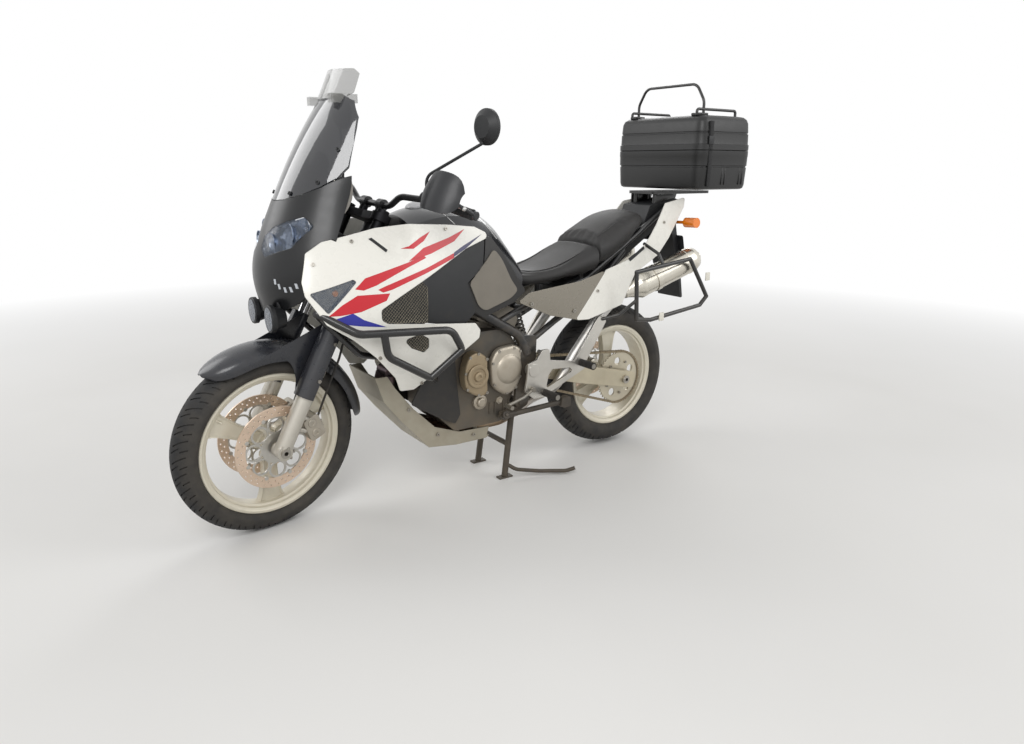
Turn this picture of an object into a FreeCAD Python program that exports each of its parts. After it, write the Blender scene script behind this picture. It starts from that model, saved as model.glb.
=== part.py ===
import FreeCAD, Part
import math
import os
from functools import cache

V = FreeCAD.Vector

# Adventure motorcycle, parked on its centre stand with the steering turned a little to the left.
# Millimetres, +X forward, +Y to the rider's left, +Z up, origin on the floor under the middle of the part.

# Stance and steering geometry
WHEELBASE = 1560.0
FRONT_AXLE_X = 913.0
REAR_LIFT = 14.0
RAKE = 27.5
TRAIL = 110.0
STEER_REST = 10.67

# Wheels
FRONT_TYRE_R = 329.0
FRONT_TYRE_W = 110.0
FRONT_RIM_R = 254.0
FRONT_RIM_W = 82.0
REAR_TYRE_R = 321.0
REAR_TYRE_W = 150.0
REAR_RIM_R = 229.0
REAR_RIM_W = 112.0
TYRE_SHOULDER_DROP = 34.0
RIM_WALL = 8.0
RIM_DEPTH = 26.0
HUB_R = 46.0
FRONT_HUB_W = 118.0
REAR_HUB_W = 150.0
SPOKE_COUNT = 3
FRONT_SPOKE_AT = -90.0
REAR_SPOKE_AT = 90.0
SPOKE_HUB_W = 52.0
SPOKE_RIM_W = 84.0
SPOKE_T = 30.0
AXLE_R = 11.0
AXLE_CLEARANCE = 0.5
SPINDLE_BORE_R = 7.5

# Brakes and chain drive
FRONT_DISC_R = 148.0
FRONT_DISC_BAND = 36.0
FRONT_DISC_Y = 66.0
REAR_DISC_R = 128.0
REAR_DISC_BAND = 34.0
REAR_DISC_Y = 92.0
DISC_T = 5.0
DISC_ARM_W = 13.0
DISC_ARM_COUNT = 8
CALIPER_GAP = 5.0
CALIPER_ANGLE = 158.0
CALIPER_LUG_IN = 14.0
REAR_CALIPER_ANGLE = 60.0
CHAIN_Y = 90.0
CHAIN_W = 16.0
CHAIN_T = 12.0
FRONT_SPROCKET_R = 40.0
REAR_SPROCKET_R = 118.0
SPROCKET_T = 8.0
SPROCKET_GAP = 2.0
OUTPUT_SHAFT_X = -5.0
OUTPUT_SHAFT_Z = 470.0

# Fork, yokes and bars, measured along and ahead of the steering axis from where it meets the floor
FORK_OFFSET = 54.3
FORK_HALF_SPAN = 105.0
FORK_LEG_R = 29.0
FORK_LEG_TOP = 650.0
FORK_TUBE_R = 21.5
FORK_TUBE_TOP = 1228.0
LOWER_YOKE_AT = 955.0
LOWER_YOKE_T = 42.0
UPPER_YOKE_AT = 1186.0
UPPER_YOKE_T = 28.0
YOKE_LOBE_R = 34.0
STEM_R = 16.0
BEARING_CLEARANCE = 0.3
HEAD_R = 32.0
HEAD_GAP = 6.0
BAR_R = 11.0
BAR_CLAMP_AT = 1252.0
GRIP_R = 17.0
GRIP_LENGTH = 118.0
GUARD_T = 5.0
MIRROR_R = 56.0
MIRROR_T = 30.0

# Front mudguard
MUDGUARD_R = 360.0
MUDGUARD_SIDE_R = 306.0
MUDGUARD_HALF_W = 71.0
MUDGUARD_T = 4.0
MUDGUARD_FROM = 54.0
MUDGUARD_TO = 176.0
LEG_GUARD_R = 36.6
LEG_GUARD_T = 4.0
LEG_GUARD_FROM = 560.0
LEG_GUARD_TO = 805.0

# Frame, swingarm and shock
FRAME_TUBE_R = 19.0
SUBFRAME_TUBE_R = 13.0
PIVOT_X = -100.0
PIVOT_Z = 470.0
PIVOT_R = 17.0
PIVOT_PLATE_Y = 146.0
PIVOT_PLATE_T = 14.0
SWINGARM_Y = 122.0
SWINGARM_W = 30.0
SWINGARM_H = 72.0
SWINGARM_TIP = 60.0

# Stands
STAND_PIVOT_X = -64.0
STAND_PIVOT_Z = 330.0
STAND_PIVOT_Y = 98.0
STAND_PIN_R = 8.0
STAND_TUBE_R = 13.0
STAND_FOOT_X = -20.0
STAND_FOOT_Y = 104.0
STAND_FOOT_T = 6.0
STAND_FOOT_L = 64.0
STAND_FOOT_W = 30.0
SIDE_STAND_R = 11.0

# Bodywork
PANEL_T = 4.0
SEAM = 2.0
SCREEN_T = 4.0
SCREEN_GAP = 0.3
SCREEN_CORNER_Z = 1215.0
TANK_TOP = 1113.0

# Top box
BOX_FRONT_X = -897.0
BOX_LENGTH = 340.0
BOX_HALF_W = 268.0
BOX_BASE_Z = 1158.0
BOX_SPLIT_Z = 1322.0
BOX_TOP_Z = 1466.0
BOX_WALL = 4.0
BOX_CORNER_R = 62.0
BOX_SPLIT_GAP = 1.0
BOX_RAIL_R = 6.0
BOX_RAIL_H = 128.0
BOX_HINGE_R = 7.0
BOX_HINGE_GAP = 1.5
BOX_PIN_R = 3.0
BOX_PIN_CLEARANCE = 0.3

# Racks, bars and exhaust
RACK_TUBE_R = 9.0
RACK_Y = 281.0
CRASH_TUBE_R = 13.0
CRASH_Y = 332.0
HEADER_R = 20.0
SILENCER_R = 56.0
BRACKET_Y = 190.0
BRACKET_T = 10.0
PEG_R = 11.0

REAR_AXLE_X = FRONT_AXLE_X - WHEELBASE
FRONT_AXLE = V(FRONT_AXLE_X, 0, FRONT_TYRE_R)
REAR_AXLE = V(REAR_AXLE_X, 0, REAR_TYRE_R + REAR_LIFT)
OUTPUT_SHAFT = V(OUTPUT_SHAFT_X, 0, OUTPUT_SHAFT_Z)
PIVOT = V(PIVOT_X, 0, PIVOT_Z)
STAND_PIVOT = V(STAND_PIVOT_X, 0, STAND_PIVOT_Z)
SIDE = V(0, 1, 0)
UP = V(0, 0, 1)
STEER_FOOT = V(FRONT_AXLE_X + TRAIL, 0, 0)
STEER_UP = V(-math.sin(math.radians(RAKE)), 0, math.cos(math.radians(RAKE)))
STEER_AHEAD = V(math.cos(math.radians(RAKE)), 0, math.sin(math.radians(RAKE)))
BOX_HINGE = V(BOX_FRONT_X + BOX_HINGE_R + BOX_HINGE_GAP, 0, BOX_SPLIT_Z)
AXLE_AT = (FRONT_AXLE - STEER_FOOT).dot(STEER_UP)


# Basic shapes

def cylinder(start, end, radius):
    line = end - start
    return Part.makeCylinder(radius, line.Length, start, line)


def block(x_from, x_to, y_from, y_to, z_from, z_to):
    return Part.makeBox(x_to - x_from, y_to - y_from, z_to - z_from, V(x_from, y_from, z_from))


def union(shapes):
    joined = shapes[0]
    if len(shapes) > 1:
        joined = joined.fuse(list(shapes[1:]))
    return joined.removeSplitter()


def mirrored(shape):
    return shape.mirror(V(0, 0, 0), SIDE)


def both_sides(shape):
    return Part.makeCompound([shape, mirrored(shape)])


def rounded_path(points, radius, closed=False):
    """Straight runs joined by tangent arcs."""
    edges = []
    joints = []
    for index, corner in enumerate(points):
        if radius == 0 or (not closed and index in (0, len(points) - 1)):
            joints.append((corner, None, corner))
            continue
        back = points[index - 1] - corner
        onward = points[(index + 1) % len(points)] - corner
        half_turn = (math.pi - back.getAngle(onward)) / 2
        if half_turn < 0.01:
            joints.append((corner, None, corner))
            continue
        reach = min(radius * math.tan(half_turn), 0.45 * back.Length, 0.45 * onward.Length)
        bend = reach / math.tan(half_turn)
        inward = back / back.Length + onward / onward.Length
        middle = corner + inward / inward.Length * (bend / math.cos(half_turn) - bend)
        joints.append((corner + back / back.Length * reach, middle, corner + onward / onward.Length * reach))
    for index, (enter, middle, leave) in enumerate(joints):
        if middle is not None:
            edges.append(Part.Arc(enter, middle, leave).toShape())
        if index < len(joints) - 1 or closed:
            following = joints[(index + 1) % len(joints)][0]
            edges.append(Part.makeLine(leave, following))
    return Part.Wire(edges)


def tube(points, radius, bend):
    """A round bar along straight runs with tangent bends."""
    path = rounded_path(points, bend)
    ring = Part.Wire([Part.makeCircle(radius, points[0], points[1] - points[0])])
    return path.makePipeShell([ring], True, False)


def side_plate(outline, y_from, y_to, corner=0):
    """A plate whose outline is drawn in the side view as (x, z) points."""
    points = [V(x, y_from, z) for x, z in outline]
    return Part.Face(rounded_path(points, corner, True)).extrude(V(0, y_to - y_from, 0))


def front_plate(outline, x_from, x_to, corner=0):
    """A plate whose outline is drawn in the front view as (y, z) points."""
    points = [V(x_from, y, z) for y, z in outline]
    return Part.Face(rounded_path(points, corner, True)).extrude(V(x_to - x_from, 0, 0))


def turned(profile, centre):
    """A ring about a cross axis, from (y, r) points."""
    points = [centre + V(0, y, r) for y, r in profile]
    face = Part.Face(Part.makePolygon(points + [points[0]]))
    return face.revolve(centre, SIDE, 360)


def bent_skin(stations, thickness, inset=0.0):
    """A curved panel: each station is x, then low, middle and top as (z, y) of its outer face."""
    wires = []
    for x, low, middle, top in stations:
        outer = [V(x, y - inset, z) for z, y in (low, middle, top)]
        inner = [point - V(0, thickness, 0) for point in outer]
        wires.append(Part.Wire([Part.Arc(*outer).toShape(), Part.makeLine(outer[2], inner[2]),
                                Part.Arc(inner[2], inner[1], inner[0]).toShape(),
                                Part.makeLine(inner[0], outer[0])]))
    return Part.makeLoft(wires, True)


def hull_section(x, bottom, middle, top, crown):
    """A closed cross section from (y, z) points of one side and the height of the crown."""
    left = [V(x, bottom[0], bottom[1]), V(x, middle[0], middle[1]), V(x, top[0], top[1])]
    right = [V(x, -point.y, point.z) for point in left]
    return Part.Wire([Part.Arc(left[0], left[1], left[2]).toShape(),
                      Part.Arc(left[2], V(x, 0, crown), right[2]).toShape(),
                      Part.Arc(right[2], right[1], right[0]).toShape(),
                      Part.makeLine(right[0], left[0])])


def fork_point(ahead, side, along):
    return STEER_FOOT + STEER_AHEAD * ahead + SIDE * side + STEER_UP * along


def steered(shape):
    turned_shape = shape.copy()
    turned_shape.rotate(STEER_FOOT, STEER_UP, STEER_REST)
    return turned_shape


def polar(centre, radius, degrees, side=0.0):
    angle = math.radians(degrees)
    return centre + V(radius * math.cos(angle), side, radius * math.sin(angle))


# Wheels

def rim(axle, radius, width, hub_width, first_spoke):
    half = width / 2
    well = radius - RIM_DEPTH
    profile = [(-half, radius), (-half + RIM_WALL, radius), (-half + 2 * RIM_WALL, well + RIM_WALL),
               (half - 2 * RIM_WALL, well + RIM_WALL), (half - RIM_WALL, radius), (half, radius),
               (half, well + RIM_WALL), (half - RIM_WALL, well), (-half + RIM_WALL, well),
               (-half, well + RIM_WALL)]
    spokes = []
    for number in range(SPOKE_COUNT):
        spoke = side_plate([(HUB_R * 0.6, -SPOKE_HUB_W / 2), (well + RIM_WALL / 4, -SPOKE_RIM_W / 2),
                            (well + RIM_WALL / 4, SPOKE_RIM_W / 2), (HUB_R * 0.6, SPOKE_HUB_W / 2)],
                           -SPOKE_T / 2, SPOKE_T / 2)
        spoke.rotate(V(0, 0, 0), SIDE, -first_spoke - number * 360 / SPOKE_COUNT)
        spoke.translate(axle)
        spokes.append(spoke)
    hub = cylinder(axle - SIDE * hub_width / 2, axle + SIDE * hub_width / 2, HUB_R)
    bore = cylinder(axle - SIDE * hub_width, axle + SIDE * hub_width, AXLE_R + AXLE_CLEARANCE)
    return union([turned(profile, axle), hub] + spokes).cut(bore)


def tyre(axle, radius, width, rim_radius, rim_width):
    bead = rim_width / 2 - RIM_WALL
    shoulder = radius - TYRE_SHOULDER_DROP
    seat = rim_radius - RIM_DEPTH + RIM_WALL
    left = [axle + V(0, bead, rim_radius), axle + V(0, width / 2, (shoulder + rim_radius) / 2 + 10),
            axle + V(0, width / 2 - 6, shoulder)]
    right = [V(point.x, -point.y, point.z) for point in left]
    crown = axle + V(0, 0, radius)
    inner = [axle + V(0, bead - RIM_WALL, seat), axle + V(0, RIM_WALL - bead, seat)]
    wire = Part.Wire([Part.Arc(left[0], left[1], left[2]).toShape(),
                      Part.Arc(left[2], crown, right[2]).toShape(),
                      Part.Arc(right[2], right[1], right[0]).toShape(),
                      Part.makeLine(right[0], inner[1]), Part.makeLine(inner[1], inner[0]),
                      Part.makeLine(inner[0], left[0])])
    return Part.Face(wire).revolve(axle, SIDE, 360)


def disc(axle, side, radius, band, hub_reach):
    """A brake disc: a flat band held by slim arms on a ring that sits on the hub."""
    middle = axle + SIDE * side
    half = SIDE * (DISC_T / 2)
    ring = cylinder(middle - half, middle + half, radius)
    ring = ring.cut(cylinder(middle - SIDE * DISC_T, middle + SIDE * DISC_T, radius - band))
    carrier_r = HUB_R + 16
    carrier = cylinder(middle - half, middle + half, carrier_r)
    arms = []
    for number in range(DISC_ARM_COUNT):
        arm = block(carrier_r - 6, radius - band + 6, -DISC_T / 2, DISC_T / 2, -DISC_ARM_W / 2, DISC_ARM_W / 2)
        arm.rotate(V(0, 0, 0), SIDE, number * 360 / DISC_ARM_COUNT)
        arm.translate(middle)
        arms.append(arm)
    bore = cylinder(axle + SIDE * (side - 200), axle + SIDE * (side + 200), AXLE_R + AXLE_CLEARANCE + 9)
    collar = cylinder(axle + SIDE * hub_reach, middle, carrier_r - 10)
    return union([ring, carrier, collar] + arms).cut(bore)


@cache
def rear_sprocket():
    middle = REAR_AXLE + SIDE * CHAIN_Y
    radius = REAR_SPROCKET_R - CHAIN_T / 2 - SPROCKET_GAP
    plate = cylinder(middle - SIDE * SPROCKET_T / 2, middle + SIDE * SPROCKET_T / 2, radius)
    for number in range(5):
        hole = polar(middle, radius * 0.68, 36 + number * 72)
        plate = plate.cut(cylinder(hole - SIDE * SPROCKET_T, hole + SIDE * SPROCKET_T, 17))
    carrier = cylinder(REAR_AXLE + SIDE * REAR_HUB_W / 2, middle, HUB_R + 12)
    bore = cylinder(REAR_AXLE, middle + SIDE * 40, AXLE_R + AXLE_CLEARANCE + 9)
    return union([plate, carrier]).cut(bore)


def belt(first, first_r, second, second_r, side_from, side_to):
    """A closed band round two wheels in the side view."""
    line = second - first
    base = math.atan2(line.z, line.x)
    lean = math.acos((first_r - second_r) / line.Length)
    ends = []
    for centre, radius in ((first, first_r), (second, second_r)):
        for turn in (lean, -lean):
            angle = base + turn
            ends.append(V(centre.x + radius * math.cos(angle), side_from, centre.z + radius * math.sin(angle)))
    far_first = V(first.x - first_r * math.cos(base), side_from, first.z - first_r * math.sin(base))
    far_second = V(second.x + second_r * math.cos(base), side_from, second.z + second_r * math.sin(base))
    wire = Part.Wire([Part.Arc(ends[1], far_first, ends[0]).toShape(), Part.makeLine(ends[0], ends[2]),
                      Part.Arc(ends[2], far_second, ends[3]).toShape(), Part.makeLine(ends[3], ends[1])])
    return Part.Face(wire).extrude(SIDE * (side_to - side_from))


def chain(grow=0.0):
    half = CHAIN_T / 2 + grow
    low = CHAIN_Y - CHAIN_W / 2 - grow
    high = CHAIN_Y + CHAIN_W / 2 + grow
    outer = belt(OUTPUT_SHAFT, FRONT_SPROCKET_R + half, REAR_AXLE, REAR_SPROCKET_R + half, low, high)
    inner = belt(OUTPUT_SHAFT, FRONT_SPROCKET_R - half, REAR_AXLE, REAR_SPROCKET_R - half, low - 1, high + 1)
    return outer.cut(inner)


# Steering assembly

@cache
def fork_lowers():
    legs = []
    spindle_hole = union([front_axle(), cylinder(FRONT_AXLE - SIDE * 200, FRONT_AXLE + SIDE * 200, AXLE_R)])
    for side in (-FORK_HALF_SPAN, FORK_HALF_SPAN):
        leg = cylinder(fork_point(FORK_OFFSET, side, AXLE_AT - 14), fork_point(FORK_OFFSET, side, FORK_LEG_TOP),
                       FORK_LEG_R)
        collar = cylinder(fork_point(FORK_OFFSET, side, FORK_LEG_TOP - 26),
                          fork_point(FORK_OFFSET, side, FORK_LEG_TOP), FORK_LEG_R + 3)
        foot = cylinder(fork_point(FORK_OFFSET, side - 24, AXLE_AT), fork_point(FORK_OFFSET, side + 24, AXLE_AT),
                        FORK_LEG_R - 1)
        inward = side - math.copysign(CALIPER_LUG_IN, side)
        lugs = [cylinder(fork_point(FORK_OFFSET - FORK_LEG_R - 36, inward, AXLE_AT + rise),
                         fork_point(FORK_OFFSET - 5, inward, AXLE_AT + rise), 9) for rise in (84, 126)]
        whole = union([leg, collar, foot] + lugs).cut(spindle_hole).cut(front_calipers())
        legs.append(max(whole.Solids, key=lambda solid: solid.Volume))
    return Part.makeCompound(legs)


@cache
def front_axle():
    reach = FORK_HALF_SPAN + 24
    bar = cylinder(FRONT_AXLE - SIDE * (reach + 3), FRONT_AXLE + SIDE * (reach + 6), AXLE_R)
    nut = cylinder(FRONT_AXLE + SIDE * reach, FRONT_AXLE + SIDE * (reach + 6), AXLE_R + 6)
    bore = cylinder(FRONT_AXLE - SIDE * 200, FRONT_AXLE + SIDE * 200, SPINDLE_BORE_R)
    return union([bar, nut]).cut(bore)


def yoke(at, thickness):
    low = at
    middle = cylinder(fork_point(0, 0, low), fork_point(0, 0, low + thickness), HEAD_R + 4)
    parts = [middle]
    for side in (-FORK_HALF_SPAN, FORK_HALF_SPAN):
        parts.append(cylinder(fork_point(FORK_OFFSET, side, low), fork_point(FORK_OFFSET, side, low + thickness),
                              YOKE_LOBE_R))
    corners = [fork_point(-HEAD_R * 0.5, 30, low), fork_point(FORK_OFFSET - 24, FORK_HALF_SPAN, low),
               fork_point(FORK_OFFSET + 20, FORK_HALF_SPAN, low), fork_point(FORK_OFFSET + 6, 0, low),
               fork_point(FORK_OFFSET + 20, -FORK_HALF_SPAN, low),
               fork_point(FORK_OFFSET - 24, -FORK_HALF_SPAN, low), fork_point(-HEAD_R * 0.5, -30, low)]
    web = Part.Face(Part.makePolygon(corners + [corners[0]])).extrude(STEER_UP * thickness)
    return union(parts + [web])


@cache
def fork_tubes():
    """Both stanchions, the stem and the two yokes that clamp them."""
    parts = [yoke(LOWER_YOKE_AT, LOWER_YOKE_T), yoke(UPPER_YOKE_AT, UPPER_YOKE_T)]
    parts.append(cylinder(fork_point(0, 0, LOWER_YOKE_AT), fork_point(0, 0, UPPER_YOKE_AT + UPPER_YOKE_T + 8),
                          STEM_R))
    for side in (-FORK_HALF_SPAN, FORK_HALF_SPAN):
        parts.append(cylinder(fork_point(FORK_OFFSET, side, FORK_LEG_TOP), fork_point(FORK_OFFSET, side,
                              FORK_TUBE_TOP), FORK_TUBE_R))
    for side in (-48, 48):
        parts.append(cylinder(fork_point(32, side, UPPER_YOKE_AT + UPPER_YOKE_T - 4),
                              fork_point(32, side, BAR_CLAMP_AT - BAR_R), 15))
    return union(parts)


BAR_ROUTE = [(32, 0, 1252), (32, 95, 1252), (46, 150, 1290), (20, 290, 1305), (-22, 452, 1298)]


def bar_points(flip=1):
    return [fork_point(ahead, flip * side, along) for ahead, side, along in BAR_ROUTE]


@cache
def handlebar():
    left = bar_points()
    right = bar_points(-1)
    bar = tube(list(reversed(right))[:-1] + left[1:], BAR_R, 60)
    clamps = [cylinder(fork_point(32, side - 14, BAR_CLAMP_AT), fork_point(32, side + 14, BAR_CLAMP_AT),
                       BAR_R + 9) for side in (-48, 48)]
    return union([bar] + clamps).cut(fork_tubes())


def along_bar(distance, flip=1):
    """The point at a distance in from the bar's end, on its last straight run."""
    points = bar_points(flip)
    inward = points[-2] - points[-1]
    return points[-1] + inward / inward.Length * distance


@cache
def hand_controls():
    """Grips, switch housings, levers and the brake reservoir."""
    parts = []
    for flip in (1, -1):
        grip = cylinder(along_bar(2, flip), along_bar(2 + GRIP_LENGTH, flip), GRIP_R)
        switch = cylinder(along_bar(2 + GRIP_LENGTH, flip), along_bar(46 + GRIP_LENGTH, flip), GRIP_R + 8)
        perch_at = along_bar(58 + GRIP_LENGTH, flip)
        perch = cylinder(along_bar(48 + GRIP_LENGTH, flip), along_bar(72 + GRIP_LENGTH, flip), GRIP_R + 2)
        horn = perch_at + STEER_AHEAD * 34
        arm = cylinder(perch_at, horn, 8)
        end = along_bar(8, flip) + STEER_AHEAD * 46
        lever = cylinder(horn, end, 5)
        ball = Part.makeSphere(8, end)
        pot_base = perch_at + STEER_AHEAD * 22
        pot = cylinder(pot_base, pot_base + STEER_UP * 48, 16)
        parts.append(union([grip, switch, perch, arm, lever, ball, pot]))
    return Part.makeCompound(parts).cut(handlebar())


HAND_GUARD_LINE = [(-6, 462), (66, 428), (72, 300)]
HAND_GUARD_LOW = 1246.0
HAND_GUARD_HIGH = 1366.0


@cache
def handguards():
    """A curved shield in front of each hand, held at the bar's end and at the clamp."""
    shields = []
    for flip in (1, -1):
        outer = [fork_point(ahead, flip * side, HAND_GUARD_LOW) for ahead, side in HAND_GUARD_LINE]
        inner = [point - STEER_AHEAD * GUARD_T for point in outer]
        wire = Part.Wire([Part.Arc(*outer).toShape(), Part.makeLine(outer[2], inner[2]),
                          Part.Arc(inner[2], inner[1], inner[0]).toShape(), Part.makeLine(inner[0], outer[0])])
        shell = Part.Face(wire).extrude(STEER_UP * (HAND_GUARD_HIGH - HAND_GUARD_LOW))
        end = along_bar(-6, flip)
        boss = cylinder(along_bar(0, flip), along_bar(-16, flip), 15)
        stay = tube([end, end + STEER_AHEAD * 30 + SIDE * flip * 4, fork_point(62, flip * 428, 1298)], 7, 20)
        shields.append(union([shell, boss, stay]))
    return Part.makeCompound(shields).cut(handlebar()).cut(hand_controls())


@cache
def mirrors():
    parts = []
    for flip in (1, -1):
        clamp = cylinder(along_bar(76 + GRIP_LENGTH, flip), along_bar(96 + GRIP_LENGTH, flip), BAR_R + 7)
        base = along_bar(86 + GRIP_LENGTH, flip) + STEER_UP * (BAR_R + 4)
        knee = base + UP * 56 - SIDE * flip * 4
        centre = V(334, flip * 420, 1408)
        head_foot = centre - UP * (MIRROR_R - 8) + V(12, 0, 0)
        stem = tube([base, knee, head_foot], 5, 40)
        head = Part.makeCylinder(MIRROR_R, MIRROR_T * 0.4, centre - V(MIRROR_T * 0.2, 0, 0), V(1, 0, 0))
        back = Part.makeCone(MIRROR_R, MIRROR_R * 0.62, MIRROR_T * 0.6, centre + V(MIRROR_T * 0.2, 0, 0), V(1, 0, 0))
        parts.append(union([clamp, stem, head, back]))
    return Part.makeCompound(parts).cut(handlebar()).cut(hand_controls())


@cache
def front_mudguard():
    """A deep arch over the wheel, with a guard down the front of each fork leg."""
    half = MUDGUARD_HALF_W
    wall = MUDGUARD_T
    flat = half * 0.52
    drop = MUDGUARD_R - 26
    profile = [(-half, MUDGUARD_SIDE_R), (-half, drop), (-flat, MUDGUARD_R), (flat, MUDGUARD_R), (half, drop),
               (half, MUDGUARD_SIDE_R), (half - wall, MUDGUARD_SIDE_R), (half - wall, drop - wall * 0.4),
               (flat - wall * 0.4, MUDGUARD_R - wall), (-flat + wall * 0.4, MUDGUARD_R - wall),
               (-half + wall, drop - wall * 0.4), (-half + wall, MUDGUARD_SIDE_R)]
    points = [FRONT_AXLE + V(0, y, r) for y, r in profile]
    face = Part.Face(Part.makePolygon(points + [points[0]]))
    face.rotate(FRONT_AXLE, SIDE, 90 - MUDGUARD_FROM)
    arch = face.revolve(FRONT_AXLE, -SIDE, MUDGUARD_TO - MUDGUARD_FROM)
    parts = [arch]
    hollow = []
    for side in (-FORK_HALF_SPAN, FORK_HALF_SPAN):
        low = fork_point(FORK_OFFSET, side, LEG_GUARD_FROM)
        high = fork_point(FORK_OFFSET, side, LEG_GUARD_TO)
        parts.append(cylinder(low, high, LEG_GUARD_R))
        hollow.append(cylinder(low - STEER_UP, high + STEER_UP, LEG_GUARD_R - LEG_GUARD_T))
        back = Part.makeBox(2 * LEG_GUARD_R, 2 * LEG_GUARD_R, LEG_GUARD_TO - LEG_GUARD_FROM + 20)
        back.translate(V(-2 * LEG_GUARD_R - 8, -LEG_GUARD_R, 0))
        back.rotate(V(0, 0, 0), SIDE, -RAKE)
        back.translate(low - STEER_UP * 10)
        hollow.append(back)
    guard = union(parts)
    for shape in hollow:
        guard = guard.cut(shape)
    solids = sorted(guard.Solids, key=lambda solid: -solid.Volume)
    lugs = []
    for side in (-1, 1):
        lug = cylinder(fork_point(FORK_OFFSET, side * (half - wall), FORK_LEG_TOP - 60),
                       fork_point(FORK_OFFSET, side * (FORK_HALF_SPAN - FORK_LEG_R + 4), FORK_LEG_TOP - 60), 9)
        lugs.append(lug)
    return union([solids[0]] + lugs).cut(fork_lowers())


def caliper(axle, side, disc_r, band, angle, outward):
    """A two-piece caliper that straddles the disc's band."""
    middle = polar(axle, disc_r - band / 2 + 8, angle, side)
    body = block(-30, 30, -34, 34, -44, 44)
    body = body.makeFillet(12, [edge for edge in body.Edges if abs(edge.tangentAt(0).y) > 0.9])
    body.rotate(V(0, 0, 0), SIDE, -angle)
    body.translate(middle)
    slot_half = DISC_T / 2 + CALIPER_GAP
    slot = cylinder(axle + SIDE * (side - slot_half), axle + SIDE * (side + slot_half), disc_r + CALIPER_GAP)
    inner = block(-200, 200, -200 if outward > 0 else side + 22, side - 22 if outward > 0 else 200, -200, 200)
    inner.translate(axle)
    return body.cut(slot).cut(inner)


@cache
def front_calipers():
    left = caliper(FRONT_AXLE, FRONT_DISC_Y, FRONT_DISC_R, FRONT_DISC_BAND, CALIPER_ANGLE, 1)
    return both_sides(left)


@cache
def brake_hoses():
    """Two lines from a junction on the lower yoke down behind the fork legs to the calipers."""
    hoses = []
    for flip in (-1, 1):
        side = flip * (FORK_HALF_SPAN - 26)
        route = [fork_point(16, flip * 62, LOWER_YOKE_AT), fork_point(6, flip * 64, LOWER_YOKE_AT - 60),
                 fork_point(-16, flip * 76, 800), fork_point(-26, side + flip * 8, 700),
                 fork_point(-30, side + flip * 8, 600), fork_point(-40, side + flip * 4, 478)]
        hoses.append(tube(route, 4, 120))
    return Part.makeCompound(hoses).cut(front_calipers()).cut(front_mudguard()).cut(fork_tubes())


# Frame, engine and drive line

FRAME_ROUTES = [
    [(505, 20, 962), (440, 84, 905), (330, 132, 840), (90, 146, 700), (-60, 146, 610), (-96, 146, 530)],
    [(530, 16, 935), (470, 74, 850), (445, 136, 710), (420, 140, 640)],
]
SUBFRAME_ROUTES = [
    [(40, 146, 672), (-160, 118, 740), (-430, 104, 800), (-700, 96, 960), (-900, 90, 1085)],
    [(-96, 132, 560), (-260, 112, 640), (-470, 104, 740), (-640, 99, 906)],
]


@cache
def frame():
    """A steel tube frame: steering head, two upper rails, front hangers and pivot plates."""
    head = cylinder(fork_point(0, 0, LOWER_YOKE_AT + LOWER_YOKE_T + HEAD_GAP),
                    fork_point(0, 0, UPPER_YOKE_AT - HEAD_GAP), HEAD_R)
    parts = [head]
    for route in FRAME_ROUTES:
        for flip in (1, -1):
            parts.append(tube([V(x, flip * y, z) for x, y, z in route], FRAME_TUBE_R, 60))
    parts.append(cylinder(V(330, -132, 840), V(330, 132, 840), FRAME_TUBE_R - 5))
    for flip in (1, -1):
        parts.append(cylinder(V(40, flip * HEAD_HALF_W, 672), V(40, flip * 146, 672), FRAME_TUBE_R - 5))
    plate = side_plate([(-140, 600), (-60, 610), (-50, 480), (-36, 330), (-60, 300), (-98, 318), (-136, 440)],
                       PIVOT_PLATE_Y - PIVOT_PLATE_T / 2, PIVOT_PLATE_Y + PIVOT_PLATE_T / 2, 12)
    foot = cylinder(STAND_PIVOT + SIDE * (STAND_PIVOT_Y + 20), STAND_PIVOT + SIDE * PIVOT_PLATE_Y, 18)
    parts += [plate, mirrored(plate), foot, mirrored(foot)]
    pin = cylinder(STAND_PIVOT - SIDE * (PIVOT_PLATE_Y + 12), STAND_PIVOT + SIDE * (PIVOT_PLATE_Y + 12),
                   STAND_PIN_R)
    parts.append(pin)
    lug = side_plate([(-60, 318), (-60, 286), (16, 270), (36, 286), (30, 308)], PIVOT_PLATE_Y - PIVOT_PLATE_T / 2,
                     PIVOT_PLATE_Y + PIVOT_PLATE_T / 2, 8)
    side_pin = cylinder(SIDE_STAND_PIVOT - SIDE_STAND_AXIS * 26, SIDE_STAND_PIVOT + SIDE_STAND_AXIS * 13,
                        STAND_PIN_R - 2)
    parts += [lug, side_pin]
    stem_hole = cylinder(fork_point(0, 0, LOWER_YOKE_AT), fork_point(0, 0, UPPER_YOKE_AT),
                         STEM_R + BEARING_CLEARANCE)
    pivot_hole = cylinder(PIVOT - SIDE * 300, PIVOT + SIDE * 300, PIVOT_R)
    return union(parts).cut(stem_hole).cut(pivot_hole)


@cache
def subframe_rails():
    parts = []
    for route in SUBFRAME_ROUTES:
        for flip in (1, -1):
            parts.append(tube([V(x, flip * y, z) for x, y, z in route], SUBFRAME_TUBE_R, 60))
    for x, half, z in ((-430, 104, 800), (-700, 96, 960), (-890, 90, 1079)):
        parts.append(cylinder(V(x, -half, z), V(x, half, z), SUBFRAME_TUBE_R - 2))
    return union(parts).cut(frame())


SEAT_RESTS = [
    # x, y, z of the rail below, height that reaches the seat
    (-180, 116, 745, 90),
    (-400, 105, 794, 70),
]


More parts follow.
